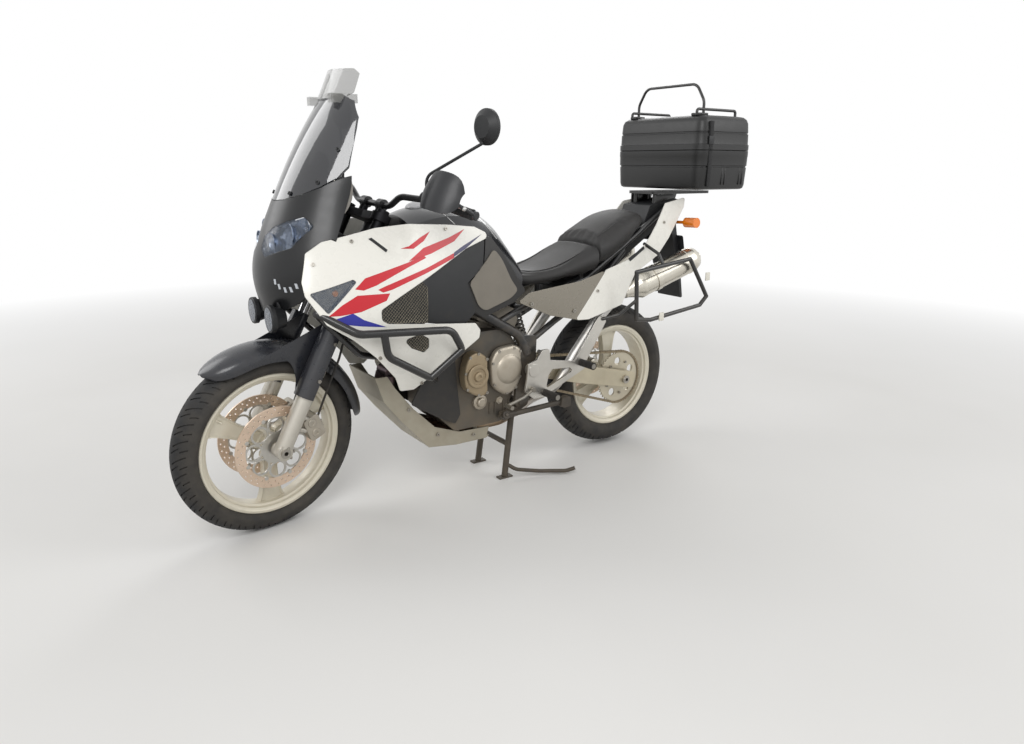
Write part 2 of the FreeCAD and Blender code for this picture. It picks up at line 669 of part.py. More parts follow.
@cache
def subframe():
    """The tail's tubes, with a rest for each corner of the rider's seat."""
    rests = []
    for x, y, z, height in SEAT_RESTS:
        rest = cylinder(V(x, y, z), V(x, y, z + height), 9)
        rests += [rest, mirrored(rest)]
    return union([subframe_rails()] + rests).cut(rider_seat()).cut(pillion_seat())


CASE_OUTLINE = [(-64, 425), (-64, 560), (-10, 640), (120, 640), (300, 520), (300, 330), (230, 262), (10, 262),
                (-30, 350)]
CASE_HALF_W = 128.0
HEAD_HALF_W = 88.0
CYLINDERS = [
    # lean from the vertical, reach of the head
    (-66.0, 352.0),
    (24.0, 318.0),
]
CRANK_X = 110.0
CRANK_Z = 440.0


@cache
def engine_case():
    case = side_plate(CASE_OUTLINE, -CASE_HALF_W, CASE_HALF_W, 24)
    return case.cut(chain(6)).cut(frame())


@cache
def engine_cylinders():
    """Two cylinders with their heads and covers, at right angles to each other."""
    case = engine_case()
    parts = []
    half = HEAD_HALF_W
    for lean, reach in CYLINDERS:
        barrel = side_plate([(-76, 150), (76, 150), (76, reach - 92), (-76, reach - 92)], -half + 12, half - 12, 20)
        head = side_plate([(-94, reach - 96), (94, reach - 96), (94, reach - 34), (60, reach), (-60, reach),
                           (-94, reach - 34)], -half, half, 14)
        whole = union([barrel, head])
        for fin in range(4):
            z = 166 + fin * 22
            ring = side_plate([(-84, z), (84, z), (84, z + 6), (-84, z + 6)], -half + 5, half - 5)
            whole = whole.fuse(ring)
        whole.rotate(V(0, 0, 0), SIDE, -lean)
        whole.translate(V(CRANK_X, 0, CRANK_Z))
        parts.append(max(whole.cut(case).Solids, key=lambda solid: solid.Volume))
    return Part.makeCompound(parts)


@cache
def engine_covers():
    """Left and right covers on the crankcase, with the oval generator cover and the sprocket cover."""
    left = CASE_HALF_W
    generator = side_plate([(108, 402), (150, 398), (205, 430), (212, 500), (190, 566), (150, 578), (108, 550)],
                           left, left + 52, 28)
    rim_ring = cylinder(V(158, left + 52, 484), V(158, left + 66, 484), 46)
    bolt = cylinder(V(158, left + 66, 484), V(158, left + 72, 484), 18)
    sprocket = side_plate([(-64, 440), (-64, 560), (-30, 578), (50, 572), (84, 520), (76, 420), (10, 372),
                           (-40, 392)], left, left + 30, 22)
    boss = cylinder(V(-2, left + 30, 484), V(-2, left + 42, 484), 56)
    left_side = union([generator, rim_ring, bolt]), union([sprocket, boss])
    clutch = cylinder(V(62, -left - 34, 450), V(62, -left, 450), 90)
    clutch_rim = cylinder(V(62, -left - 46, 450), V(62, -left - 34, 450), 68)
    starter = cylinder(V(166, -left - 26, 470), V(166, -left, 470), 42)
    right_side = union([clutch, clutch_rim, starter])
    plain = [shape.cut(chain(6)).cut(frame()) for shape in left_side]
    return Part.makeCompound(plain + [right_side])


EXHAUST_ROUTES = [
    # name of the pipe, route as (x, y, z)
    ("front", [(452, 40, 496), (466, 44, 440), (400, 58, 330), (310, 58, 262), (200, 58, 236), (-20, 58, 238),
               (-110, 58, 262)]),
    ("rear", [(-110, 58, 262), (-170, 58, 300), (-235, 160, 372), (-330, 160, 500), (-430, 158, 612),
              (-540, 158, 704), (-610, 169, 745)]),
]


@cache
def exhaust_pipes():
    """The front header, the collector under the engine and a pipe up to each silencer."""
    parts = []
    for name, route in EXHAUST_ROUTES:
        for flip in (1, -1):
            parts.append(tube([V(x, flip * y, z) for x, y, z in route], HEADER_R, 70))
    collector = cylinder(V(-110, -58, 262), V(-110, 58, 262), HEADER_R + 4)
    flange = cylinder(V(448, -40, 508), V(448, 40, 508), HEADER_R + 2)
    parts += [collector, flange]
    return union(parts).cut(engine_cylinders()).cut(engine_case()).cut(silencers())


SILENCER_FRONT = V(-590, 166, 733)
SILENCER_REAR = V(-966, 214, 868)


@cache
def silencers():
    line = SILENCER_REAR - SILENCER_FRONT
    step = line / line.Length
    neck = Part.makeCone(HEADER_R + 3, SILENCER_R, 70, SILENCER_FRONT, line)
    can = cylinder(SILENCER_FRONT + step * 70, SILENCER_REAR - step * 34, SILENCER_R)
    cap = Part.makeCone(SILENCER_R, SILENCER_R - 16, 34, SILENCER_REAR - step * 34, line)
    outlet = cylinder(SILENCER_REAR - step * 60, SILENCER_REAR + step * 12, 21)
    hollow = cylinder(SILENCER_REAR - step * 60, SILENCER_REAR + step * 20, 18)
    return both_sides(union([neck, can, cap, outlet]).cut(hollow))


@cache
def bash_plate():
    """A bent plate under the engine with turned-up side walls."""
    floor = side_plate([(548, 520), (516, 424), (446, 334), (338, 214), (220, 200), (80, 200), (66, 209),
                        (70, 213), (84, 206), (219, 206), (335, 220), (441, 338), (510, 427), (542, 522)],
                       -118, 118)
    wall = side_plate([(542, 520), (516, 424), (446, 334), (338, 214), (220, 200), (80, 200), (66, 246),
                       (200, 250), (310, 290), (400, 380), (470, 470), (500, 520)], 112, 118)
    posts = [cylinder(V(x, y, 205), V(x, y, 290), 9) for x in (120, 200) for y in (-96, 96)]
    return union([floor, wall, mirrored(wall)] + posts).cut(engine_case())


@cache
def swingarm():
    """A box-section arm on each side, joined in front of the wheel and turning on the pivot."""
    line = REAR_AXLE - PIVOT
    step = line / line.Length
    normal = V(-step.z, 0, step.x)
    tip = REAR_AXLE + step * SWINGARM_TIP
    half = SWINGARM_H / 2
    outline = [PIVOT - step * 20 + normal * -half * 0.9, PIVOT - step * 20 + normal * half * 0.9,
               PIVOT + step * 300 + normal * half * 1.15, tip + normal * half, tip - normal * half,
               PIVOT + step * 300 - normal * half]
    beam = side_plate([(point.x, point.z) for point in outline], SWINGARM_Y - SWINGARM_W / 2,
                      SWINGARM_Y + SWINGARM_W / 2, 16)
    cross = cylinder(PIVOT + step * 150 - SIDE * SWINGARM_Y, PIVOT + step * 150 + SIDE * SWINGARM_Y, 30)
    hinge = cylinder(PIVOT - SIDE * SWINGARM_Y, PIVOT + SIDE * SWINGARM_Y, PIVOT_R + 12)
    bore = cylinder(PIVOT - SIDE * 300, PIVOT + SIDE * 300, PIVOT_R)
    axle_hole = cylinder(REAR_AXLE - SIDE * 300, REAR_AXLE + SIDE * 300, AXLE_R)
    return union([beam, mirrored(beam), cross, hinge]).cut(bore).cut(axle_hole).cut(chain(5))


@cache
def rear_axle():
    reach = SWINGARM_Y + SWINGARM_W / 2
    bar = cylinder(REAR_AXLE - SIDE * (reach + 14), REAR_AXLE + SIDE * (reach + 14), AXLE_R)
    nuts = [cylinder(REAR_AXLE + SIDE * reach * flip, REAR_AXLE + SIDE * (reach + 12) * flip, AXLE_R + 7)
            for flip in (1, -1)]
    bore = cylinder(REAR_AXLE - SIDE * 300, REAR_AXLE + SIDE * 300, SPINDLE_BORE_R)
    pivot = cylinder(PIVOT - SIDE * (PIVOT_PLATE_Y + 20), PIVOT + SIDE * (PIVOT_PLATE_Y + 20), PIVOT_R)
    return Part.makeCompound([union([bar] + nuts).cut(bore), pivot])


@cache
def rear_shock():
    line_low = V(-205, 0, 452)
    line_high = V(-120, 0, 700)
    body = cylinder(line_low, line_high, 16)
    step = (line_high - line_low) / (line_high - line_low).Length
    spring = cylinder(line_low + step * 60, line_high - step * 40, 32)
    eyes = [cylinder(line_low - SIDE * 20, line_low + SIDE * 20, 18),
            cylinder(line_high - SIDE * 20, line_high + SIDE * 20, 18)]
    cross = cylinder(line_high - SIDE * 110, line_high + SIDE * 110, 11)
    return union([body, spring, cross] + eyes).cut(swingarm()).cut(subframe()).cut(frame())


@cache
def rear_caliper():
    body = caliper(REAR_AXLE, -REAR_DISC_Y, REAR_DISC_R, REAR_DISC_BAND, REAR_CALIPER_ANGLE, -1)
    outer = SWINGARM_Y - SWINGARM_W / 2
    hanger = side_plate([(-20, 20), (22, 20), (90, 110), (60, 130)], -outer, -REAR_DISC_Y - DISC_T / 2 - CALIPER_GAP, 8)
    hanger.translate(REAR_AXLE)
    bore = cylinder(REAR_AXLE - SIDE * 200, REAR_AXLE, AXLE_R)
    return union([body, hanger]).cut(bore).cut(swingarm())


BRACKET_OUTLINE = [(-56, 387), (-100, 352), (-147, 351), (-360, 440), (-360, 470), (-320, 478), (-180, 500),
                   (-174, 548), (-140, 548), (-112, 510), (-70, 500), (-66, 440)]
BRACKET_WINDOW = [(-160, 384), (-300, 440), (-280, 456), (-190, 462), (-172, 440)]
PILLION_ARM = [(-300, 470), (-345, 452), (-362, 462), (-470, 628), (-462, 650), (-430, 652), (-414, 636)]


@cache
def foot_brackets():
    """Cast hangers for the rider's and the passenger's pegs, with a loop cut through each."""
    low = BRACKET_Y - BRACKET_T / 2
    high = BRACKET_Y + BRACKET_T / 2
    plate = side_plate(BRACKET_OUTLINE, low, high, 8)
    window = side_plate(BRACKET_WINDOW, low - 1, high + 1, 8)
    arm = side_plate(PILLION_ARM, low, high, 8)
    boss = cylinder(PIVOT + SIDE * (PIVOT_PLATE_Y + 20), PIVOT + SIDE * (BRACKET_Y + 8), 26)
    spacer = cylinder(V(-156, PIVOT_PLATE_Y, 530), V(-156, low, 530), 9)
    return both_sides(union([plate, arm, boss, spacer]).cut(window).cut(subframe()).cut(frame()))


@cache
def foot_controls():
    """Four pegs, the gear lever on the left and the brake pedal on the right."""
    high = BRACKET_Y + BRACKET_T / 2
    parts = []
    for flip in (1, -1):
        for x, z, length in ((-150, 372, 92), (-338, 470, 84)):
            parts.append(cylinder(V(x, flip * high, z), V(x, flip * (high + length), z), PEG_R))
        pad = 1 if flip > 0 else -1
        lever = tube([V(-88, pad * (high + 10), 396), V(-40, pad * (high + 14), 372), V(40, pad * (high + 16), 352)],
                     6, 30)
        toe = cylinder(V(40, pad * (high + 8), 352), V(40, pad * (high + 52), 352), 8)
        root = cylinder(V(-88, pad * high, 396), V(-88, pad * (high + 18), 396), 10)
        parts.append(union([lever, toe, root]))
    return Part.makeCompound(parts)


# Stands

@cache
def centre_stand():
    """Two legs on a cross tube, with a tread lever on the left leg."""
    parts = []
    for flip in (1, -1):
        top = V(STAND_PIVOT_X, flip * STAND_PIVOT_Y, STAND_PIVOT_Z)
        foot = V(STAND_FOOT_X, flip * STAND_FOOT_Y, STAND_FOOT_T)
        parts.append(cylinder(top, foot, STAND_TUBE_R))
        parts.append(cylinder(top - SIDE * 14, top + SIDE * 14, STAND_PIN_R + 8))
        pad = side_plate([(STAND_FOOT_X - STAND_FOOT_L / 2, 0), (STAND_FOOT_X + STAND_FOOT_L / 2, 0),
                          (STAND_FOOT_X + STAND_FOOT_L / 2, STAND_FOOT_T), (STAND_FOOT_X - STAND_FOOT_L / 2,
                          STAND_FOOT_T)], flip * STAND_FOOT_Y - STAND_FOOT_W / 2,
                         flip * STAND_FOOT_Y + STAND_FOOT_W / 2)
        parts.append(pad)
    share = 0.42
    brace_x = STAND_FOOT_X + share * (STAND_PIVOT_X - STAND_FOOT_X)
    brace_z = STAND_FOOT_T + share * (STAND_PIVOT_Z - STAND_FOOT_T)
    parts.append(cylinder(V(brace_x, -STAND_FOOT_Y, brace_z), V(brace_x, STAND_FOOT_Y, brace_z), STAND_TUBE_R - 2))
    parts.append(tube([V(STAND_FOOT_X - 5, STAND_FOOT_Y, 60), V(-60, 130, 34), V(-150, 170, 20), V(-250, 226, 17),
                       V(-282, 246, 30)], 8, 60))
    legs = union(parts)
    floor = block(-600, 200, -400, 400, -50, 0)
    bore = cylinder(STAND_PIVOT - SIDE * 200, STAND_PIVOT + SIDE * 200, STAND_PIN_R + AXLE_CLEARANCE)
    return legs.cut(floor).cut(bore)


SIDE_STAND_PIVOT = V(20, 172, 300)
SIDE_STAND_AXIS = V(0.1005, 0.9055, 0.4125)
SIDE_STAND_FOOT = V(-262, 196, 316)


@cache
def side_stand():
    """A single leg, folded back under the left side, on a pin that leans so that the foot swings outward."""
    leg = tube([SIDE_STAND_PIVOT, SIDE_STAND_PIVOT + V(-60, 6, 2), SIDE_STAND_FOOT], SIDE_STAND_R, 60)
    foot = side_plate([(-278, 296), (-246, 292), (-226, 300), (-232, 336), (-276, 338)], 182, 212, 8)
    eye = cylinder(SIDE_STAND_PIVOT - SIDE_STAND_AXIS * 9, SIDE_STAND_PIVOT + SIDE_STAND_AXIS * 9, 16)
    bore = cylinder(SIDE_STAND_PIVOT - SIDE_STAND_AXIS * 30, SIDE_STAND_PIVOT + SIDE_STAND_AXIS * 30,
                    STAND_PIN_R - 2 + AXLE_CLEARANCE)
    return union([leg, foot, eye]).cut(bore)


# Bodywork

FAIRING_STATIONS = [
    # x, then low, middle and top as (z, y)
    (870, (460, 196), (800, 250), (1080, 120)),
    (760, (460, 214), (800, 288), (1080, 165)),
    (600, (460, 214), (790, 294), (1080, 186)),
    (430, (460, 202), (780, 282), (1080, 190)),
    (250, (460, 190), (790, 256), (1080, 186)),
    (70, (460, 172), (800, 222), (1080, 180)),
]
FAIRING_OUTLINE = [(805, 988), (749, 1020), (665, 1036), (561, 1056), (440, 1064), (286, 1056), (175, 1044),
                   (104, 1010), (228, 972), (410, 886), (515, 838), (592, 800), (592, 766), (570, 752),
                   (460, 738), (204, 706), (178, 676), (182, 646), (253, 606), (407, 515), (447, 489),
                   (503, 494), (531, 551), (613, 642), (692, 712), (776, 770), (829, 860), (832, 903)]
LOW_WINDOW = [(511, 688), (447, 702), (410, 680), (408, 646), (428, 631), (480, 655)]
INDICATOR_OUTLINE = [(818, 868), (676, 904), (664, 896), (768, 803)]
GRILLE_OUTLINE = [(596, 800), (410, 884), (424, 740), (570, 752), (600, 766)]
SHROUD_OUTLINE = [(420, 884), (228, 976), (128, 1004), (150, 900), (228, 850), (196, 740), (250, 700), (438, 738)]
SHROUD_INSET = 16.0
SHROUD_POSTS = [(230, 890), (330, 850)]
GRILLE_GAP = 0.3
GRILLE_LAP = 1.1


def fairing_skin(inset=0.0, thickness=PANEL_T):
    return bent_skin(FAIRING_STATIONS, thickness, inset)


def cut_from_skin(skin, outline, corner=0):
    return skin.common(side_plate(outline, 60, 360, corner))


@cache
def side_fairings():
    """The two painted side panels, each open for its grille, its small lower duct and its indicator."""
    skin = cut_from_skin(fairing_skin(), FAIRING_OUTLINE, 14)
    for outline, corner in ((LOW_WINDOW, 10), (INDICATOR_OUTLINE, 6)):
        skin = skin.cut(side_plate(outline, 60, 360, corner))
    return both_sides(skin)


def shrunk(outline, share):
    """An outline pulled in about its middle."""
    middle_x = sum(x for x, z in outline) / len(outline)
    middle_z = sum(z for x, z in outline) / len(outline)
    return [(middle_x + (x - middle_x) * share, middle_z + (z - middle_z) * share) for x, z in outline]


@cache
def front_indicators():
    lens = cut_from_skin(fairing_skin(), shrunk(INDICATOR_OUTLINE, 0.985), 6)
    return both_sides(lens)


@cache
def shroud():
    """The dark panel behind the left side fairing."""
    return cut_from_skin(fairing_skin(SHROUD_INSET, 3), SHROUD_OUTLINE, 10)


@cache
def inner_panels():
    """The dark panels behind the side fairings, on posts from the tank, and the grilles in their openings."""
    outside = fairing_skin(SHROUD_INSET - 60, 60)
    posts = [cylinder(V(x, 160, z), V(x, 260, z), 8).cut(fuel_tank()).cut(outside) for x, z in SHROUD_POSTS]
    panel = union([shroud()] + posts)
    mesh = fairing_skin(PANEL_T + GRILLE_GAP, 3)
    upper = cut_from_skin(mesh, shrunk(GRILLE_OUTLINE, GRILLE_LAP), 6).cut(shroud())
    lower = cut_from_skin(mesh, shrunk(LOW_WINDOW, GRILLE_LAP), 10)
    pieces = [panel, upper, lower]
    return Part.makeCompound(pieces + [mirrored(piece) for piece in pieces])


LOW_COWL = [(371, 486), (330, 560), (236, 596), (226, 470), (212, 330), (235, 296), (300, 330), (420, 405)]


@cache
def lower_cowls():
    plate = side_plate(LOW_COWL, CASE_HALF_W + 8, CASE_HALF_W + 14, 10)
    stand_off = cylinder(V(260, CASE_HALF_W, 420), V(260, CASE_HALF_W + 8, 420), 8)
    return both_sides(union([plate, stand_off]))


@cache
def radiators():
    core = block(400, 560, 190, 226, 640, 860)
    tank_top = cylinder(V(400, 208, 868), V(560, 208, 868), 16)
    stay = cylinder(V(450, 140, 700), V(450, 192, 700), 8)
    return both_sides(union([core, tank_top, stay]).cut(frame()))


NOSE_LEVELS = [
    # z, x of the middle, x of the sides, half width
    (770, 884, 800, 120),
    (860, 900, 760, 196),
    (950, 897, 730, 222),
    (1050, 862, 690, 214),
    (1139, 822, 650, 200),
    (1230, 775, 628, 190),
]
NOSE_OUTLINE = [(0, 780), (86, 784), (150, 822), (210, 880), (236, 960), (232, 1060), (205, 1150), (196, 1226),
                (182, 1212), (158, 1184), (120, 1160), (60, 1144), (0, 1140)]
LAMP_OUTLINE = [(26, 990), (60, 966), (150, 1000), (180, 1066), (150, 1096), (60, 1060), (26, 1030)]
SCREEN_LEVELS = [
    # z, x of the middle, x of the sides, half width
    (1120, 830, 655, 198),
    (1220, 783, 640, 194),
    (1340, 718, 606, 184),
    (1480, 625, 545, 160),
]
SCREEN_OUTLINE = [(0, 1142), (60, 1146), (120, 1162), (158, 1186), (181, 1214), (190, 1250), (186, 1320),
                  (170, 1400), (140, 1452), (90, 1474), (0, 1480)]


def wrap_skin(levels, thickness, inset=0.0):
    """A shell across the bike: each level is an arc in plan, deeper in the middle."""
    wires = []
    for z, middle, sides, half in levels:
        outer = [V(sides - inset, half - inset, z), V(middle - inset, 0, z), V(sides - inset, inset - half, z)]
        inner = [V(sides - inset, half - inset - thickness, z), V(middle - inset - thickness, 0, z),
                 V(sides - inset, inset - half + thickness, z)]
        wires.append(Part.Wire([Part.Arc(*outer).toShape(), Part.makeLine(outer[2], inner[2]),
                                Part.Arc(inner[2], inner[1], inner[0]).toShape(),
                                Part.makeLine(inner[0], outer[0])]))
    return Part.makeLoft(wires, True)


def whole_front(outline):
    return outline + [(-y, z) for y, z in reversed(outline) if y > 0]


@cache
def nose_fairing():
    """The black nose that carries the headlamps, with two stays back to the steering head."""
    shell = wrap_skin(NOSE_LEVELS, PANEL_T).common(front_plate(whole_front(NOSE_OUTLINE), 400, 1000))
    lamp = front_plate(LAMP_OUTLINE, 400, 1000, 12)
    shell = shell.cut(lamp).cut(mirrored(lamp))
    return shell.cut(side_fairings())


@cache
def headlamps():
    lens = wrap_skin(NOSE_LEVELS, PANEL_T).common(front_plate(shrunk(LAMP_OUTLINE, 0.985), 400, 1000, 12))
    return both_sides(lens)


@cache
def windscreen():
    shell = wrap_skin(SCREEN_LEVELS, SCREEN_T)
    outline = [(y, z + SCREEN_GAP if z < SCREEN_CORNER_Z else z) for y, z in SCREEN_OUTLINE]
    return shell.common(front_plate(whole_front(outline), 400, 1000)).cut(nose_fairing())


@cache
def wind_deflector():
    """A clear strip clipped to the top of the screen by two clamps."""
    levels = [(1452, 650, 566, 140), (1560, 600, 540, 132)]
    outline = [(0, 1462), (104, 1462), (122, 1476), (122, 1536), (104, 1552), (0, 1556)]
    strip = wrap_skin(levels, 4).common(front_plate(whole_front(outline), 400, 1000, 8))
    clamp = block(560, 650, 84, 108, 1446, 1474)
    clamp = union([clamp, mirrored(clamp)])
    return union([strip, clamp]).cut(windscreen())


DIALS_AT = V(668, 0, 1188)
DIALS_LEAN = 32.0


@cache
def instrument_panel():
    box = block(-24, 24, -92, 92, -62, 62)
    box = box.makeFillet(14, [edge for edge in box.Edges if abs(edge.tangentAt(0).x) > 0.9])
    box.rotate(V(0, 0, 0), SIDE, DIALS_LEAN)
    box.translate(DIALS_AT)
    return box


CARRIER_HUB = V(640, 0, 1040)


@cache
def front_carrier():
    """The bracket ahead of the steering head, which carries the nose, the screen and the dials."""
    parts = [tube([fork_point(0, 0, 1090), CARRIER_HUB, V(672, 0, 1110), DIALS_AT], 10, 30),
             cylinder(CARRIER_HUB, V(700, 0, 1040), 8)]
    for flip in (1, -1):
        parts.append(tube([V(690, 0, 1040), V(704, flip * 70, 1038), V(772, flip * 190, 1030)], 8, 40))
        parts.append(tube([V(690, 0, 1040), V(700, flip * 60, 1100), V(760, flip * 120, 1196)], 6, 40))
    joined = union(parts)
    for shape in (frame(), nose_fairing(), windscreen(), side_fairings(), headlamps(), instrument_panel()):
        joined = joined.cut(shape)
    return max(joined.Solids, key=lambda solid: solid.Volume)


@cache
def aux_lamps():
    parts = []
    for flip in (1, -1):
        body = Part.makeCone(30, 42, 44, V(846, flip * 92, 770), V(1, 0, 0))
        face = cylinder(V(890, flip * 92, 770), V(898, flip * 92, 770), 44)
        stalk = cylinder(V(860, flip * 92, 770), V(860, flip * 92, 830), 7)
        parts.append(union([body, face, stalk]).cut(nose_fairing()))
    return Part.makeCompound(parts)


TANK_STATIONS = [
    # x, then bottom, middle and top as (y, z), then the crown
    (400, (126, 800), (180, 900), (132, 1050), 1082),
    (290, (150, 790), (196, 890), (140, 1076), TANK_TOP),
    (150, (150, 780), (192, 870), (134, 1070), TANK_TOP - 6),
    (20, (146, 770), (178, 860), (112, 1000), 1044),
    (-62, (120, 770), (160, 840), (96, 890), 912),
]


@cache
def fuel_tank():
    """The tank with its black cover, and the filler cap let into the top."""
    wires = [hull_section(*station) for station in TANK_STATIONS]
    cap = cylinder(V(210, 0, TANK_TOP - 30), V(210, 0, TANK_TOP + 6), 42)
    tank = union([Part.makeLoft(wires, True), cap])
    for shape in (frame(), engine_cylinders(), both_sides(shroud()), side_fairings()):
        tank = tank.cut(shape)
    return max(tank.Solids, key=lambda solid: solid.Volume)


KNEE_STATIONS = [
    (260, (700, 214), (860, 226), (1030, 190)),
    (100, (700, 196), (860, 208), (1030, 172)),
    (-80, (700, 168), (860, 182), (1030, 150)),
]
KNEE_OUTLINE = [(98, 1006), (40, 930), (-16, 846), (-62, 792), (0, 752), (143, 712), (190, 740), (222, 846),
                (146, 896), (122, 1000)]


@cache
def knee_panels():
    skin = bent_skin(KNEE_STATIONS, 8).common(side_plate(KNEE_OUTLINE, 60, 360, 10))
    return both_sides(skin.cut(side_fairings()).cut(inner_panels()).cut(fuel_tank()).cut(frame()))


RIDER_SEAT = [
    # x, then bottom, middle and top as (y, z), then the crown
    (-76, (84, 806), (104, 834), (66, 862), 868),
    (-150, (112, 800), (142, 822), (100, 842), 848),
    (-260, (132, 806), (160, 836), (120, 856), 866),
    (-370, (136, 822), (166, 860), (132, 900), 908),
    (-462, (136, 842), (166, 890), (134, 946), 962),
]
PILLION_SEAT = [
    (-462.3, (136, 844), (164, 900), (132, 958), 976),
    (-560, (132, 884), (158, 940), (130, 1010), 1026),
    (-670, (118, 946), (146, 998), (118, 1054), 1068),
    (-756, (88, 1004), (106, 1024), (84, 1048), 1056),
]


def seat(stations):
    return Part.makeLoft([hull_section(*station) for station in stations], True)


@cache
def rider_seat():
    return seat(RIDER_SEAT).cut(fuel_tank()).cut(subframe_rails()).cut(knee_panels())


@cache
def pillion_seat():
    return seat(PILLION_SEAT).cut(subframe_rails())


TAIL_STATIONS = [
    (-20, (600, 178), (780, 182), (1000, 150)),
    (-300, (600, 194), (780, 186), (1000, 160)),
    (-470, (600, 206), (820, 186), (1060, 158)),
    (-620, (640, 206), (860, 184), (1100, 150)),
    (-800, (740, 190), (940, 166), (1140, 132)),
    (-990, (860, 160), (1020, 142), (1160, 112)),
]
SIDE_COVER_OUTLINE = [(-26, 750), (-80, 782), (-200, 794), (-330, 806), (-474, 842), (-426, 786), (-312, 652),
                      (-180, 682)]
TAIL_OUTLINE = [(-304, 650), (-470, 842), (-600, 878), (-700, 936), (-770, 1010), (-840, 1100), (-975, 1122),
                (-960, 1080), (-849, 954), (-770, 884), (-629, 818), (-547, 692), (-372, 648)]


def tail_skin(inset=0.0, thickness=PANEL_T):
    return bent_skin(TAIL_STATIONS, thickness, inset)


@cache
def side_covers():
    panel = tail_skin().common(side_plate(SIDE_COVER_OUTLINE, 60, 360, 8))
    return both_sides(panel.cut(tail_panels()).cut(pillion_and_rider()).cut(knee_panels()))


@cache
def pillion_and_rider():
    return Part.makeCompound([rider_seat(), pillion_seat()])


@cache
def tail_panels():
    panel = tail_skin().common(side_plate(TAIL_OUTLINE, 60, 360, 8))
    return both_sides(panel.cut(pillion_and_rider()).cut(subframe()))


TAIL_CORE_OUTLINE = [(-300, 770), (-462, 836), (-560, 876), (-680, 944), (-760, 1000), (-800, 1090), (-968, 1118),
                     (-960, 1070), (-860, 1000), (-700, 900), (-560, 800), (-400, 720), (-300, 700)]


@cache
def tail_core():
    """The undertray and the tail's middle, between the side panels."""
    tray = side_plate(TAIL_CORE_OUTLINE, -84, 84, 10)
    return tray.cut(subframe()).cut(pillion_and_rider()).cut(tail_panels())


@cache
def rear_lamps():
    tail = block(-990, -955, -66, 66, 1074, 1112).cut(tail_core())
    stalks = []
    for flip in (1, -1):
        stalks.append(union([cylinder(V(-962, flip * 40, 1010), V(-962, flip * 150, 1014), 7),
                             cylinder(V(-962, flip * 150, 1014), V(-962, flip * 212, 1016), 22)]))
    return Part.makeCompound([tail] + stalks).cut(rear_mudguard())


@cache
def rear_mudguard():
    """The plate holder that hangs from the tail."""
    outline = [(-866, 1012), (-962, 1080), (-972, 1040), (-1030, 790), (-1053, 660), (-1040, 656), (-1012, 780),
               (-960, 960), (-900, 950), (-852, 930)]
    strip = side_plate(outline, -72, 72, 6)
    return strip.cut(tail_core())


@cache
def carrier_plate():
    """The plate for the top box, on four feet over the tail."""
    plate = block(-1180, -820, -92, 92, 1136, 1148)
    plate = plate.makeFillet(30, [edge for edge in plate.Edges if abs(edge.tangentAt(0).z) > 0.9])
    feet = [cylinder(V(x, y, z), V(x, y, 1140), 11) for x, z in ((-850, 1060), (-930, 1090)) for y in (-60, 60)]
    return union([plate] + feet).cut(tail_core()).cut(subframe())


def box_shell(z_low, z_high, grow=0.0):
    x_low = BOX_FRONT_X - BOX_LENGTH
    body = block(x_low - grow, BOX_FRONT_X + grow, -BOX_HALF_W - grow, BOX_HALF_W + grow, z_low, z_high)
    corners = [edge for edge in body.Edges if abs(edge.tangentAt(0).z) > 0.9]
    return body.makeFillet(BOX_CORNER_R + grow, corners)


@cache
def topbox_base():
    outer = box_shell(BOX_BASE_Z, BOX_SPLIT_Z - BOX_SPLIT_GAP / 2)
    inner = box_shell(BOX_BASE_Z + BOX_WALL, BOX_SPLIT_Z + 10, -BOX_WALL)
    foot = block(-1160, -840 - 90, -80, 80, 1148, BOX_BASE_Z)
    hinge = cylinder(BOX_HINGE - SIDE * 60, BOX_HINGE + SIDE * 60, BOX_PIN_R)
    root = block(BOX_FRONT_X - 2, BOX_HINGE.x + 4, -70, -56, BOX_SPLIT_Z - 16, BOX_SPLIT_Z - 1)
    ear = block(BOX_FRONT_X + 2, BOX_HINGE.x + 4, -70, -56, BOX_SPLIT_Z - 2, BOX_SPLIT_Z + 4)
    lug = root.fuse(ear)
    return union([outer.cut(inner), foot, lug, mirrored(lug), hinge])


@cache
def topbox_lid():
    outer = box_shell(BOX_SPLIT_Z + BOX_SPLIT_GAP / 2, BOX_TOP_Z)
    inner = box_shell(BOX_SPLIT_Z - 10, BOX_TOP_Z - BOX_WALL, -BOX_WALL)
    knuckle = cylinder(BOX_HINGE - SIDE * 50, BOX_HINGE + SIDE * 50, BOX_HINGE_R)
    strap = block(BOX_FRONT_X - 2, BOX_HINGE.x, -50, 50, BOX_SPLIT_Z + 1, BOX_SPLIT_Z + 16)
    bore = cylinder(BOX_HINGE - SIDE * 60, BOX_HINGE + SIDE * 60, BOX_PIN_R + BOX_PIN_CLEARANCE)
    return union([outer.cut(inner), knuckle, strap]).cut(bore)


@cache
def lid_rail():
    """A bent hoop across the lid and a low rail down each side."""
    front = BOX_FRONT_X - 76
    rear = BOX_FRONT_X - BOX_LENGTH + 60
    top = BOX_TOP_Z
    hoop = tube([V(front, -196, top), V(front, -196, top + BOX_RAIL_H * 0.45), V(front, -150, top + BOX_RAIL_H),
                 V(front, 150, top + BOX_RAIL_H), V(front, 196, top + BOX_RAIL_H * 0.45), V(front, 196, top)],
                BOX_RAIL_R, 50)
    parts = [hoop]
    for flip in (1, -1):
        parts.append(tube([V(front + 40, flip * 196, top), V(front + 40, flip * 196, top + 24),
                           V(rear, flip * 196, top + 24), V(rear, flip * 196, top)], BOX_RAIL_R, 16))
    return union(parts)


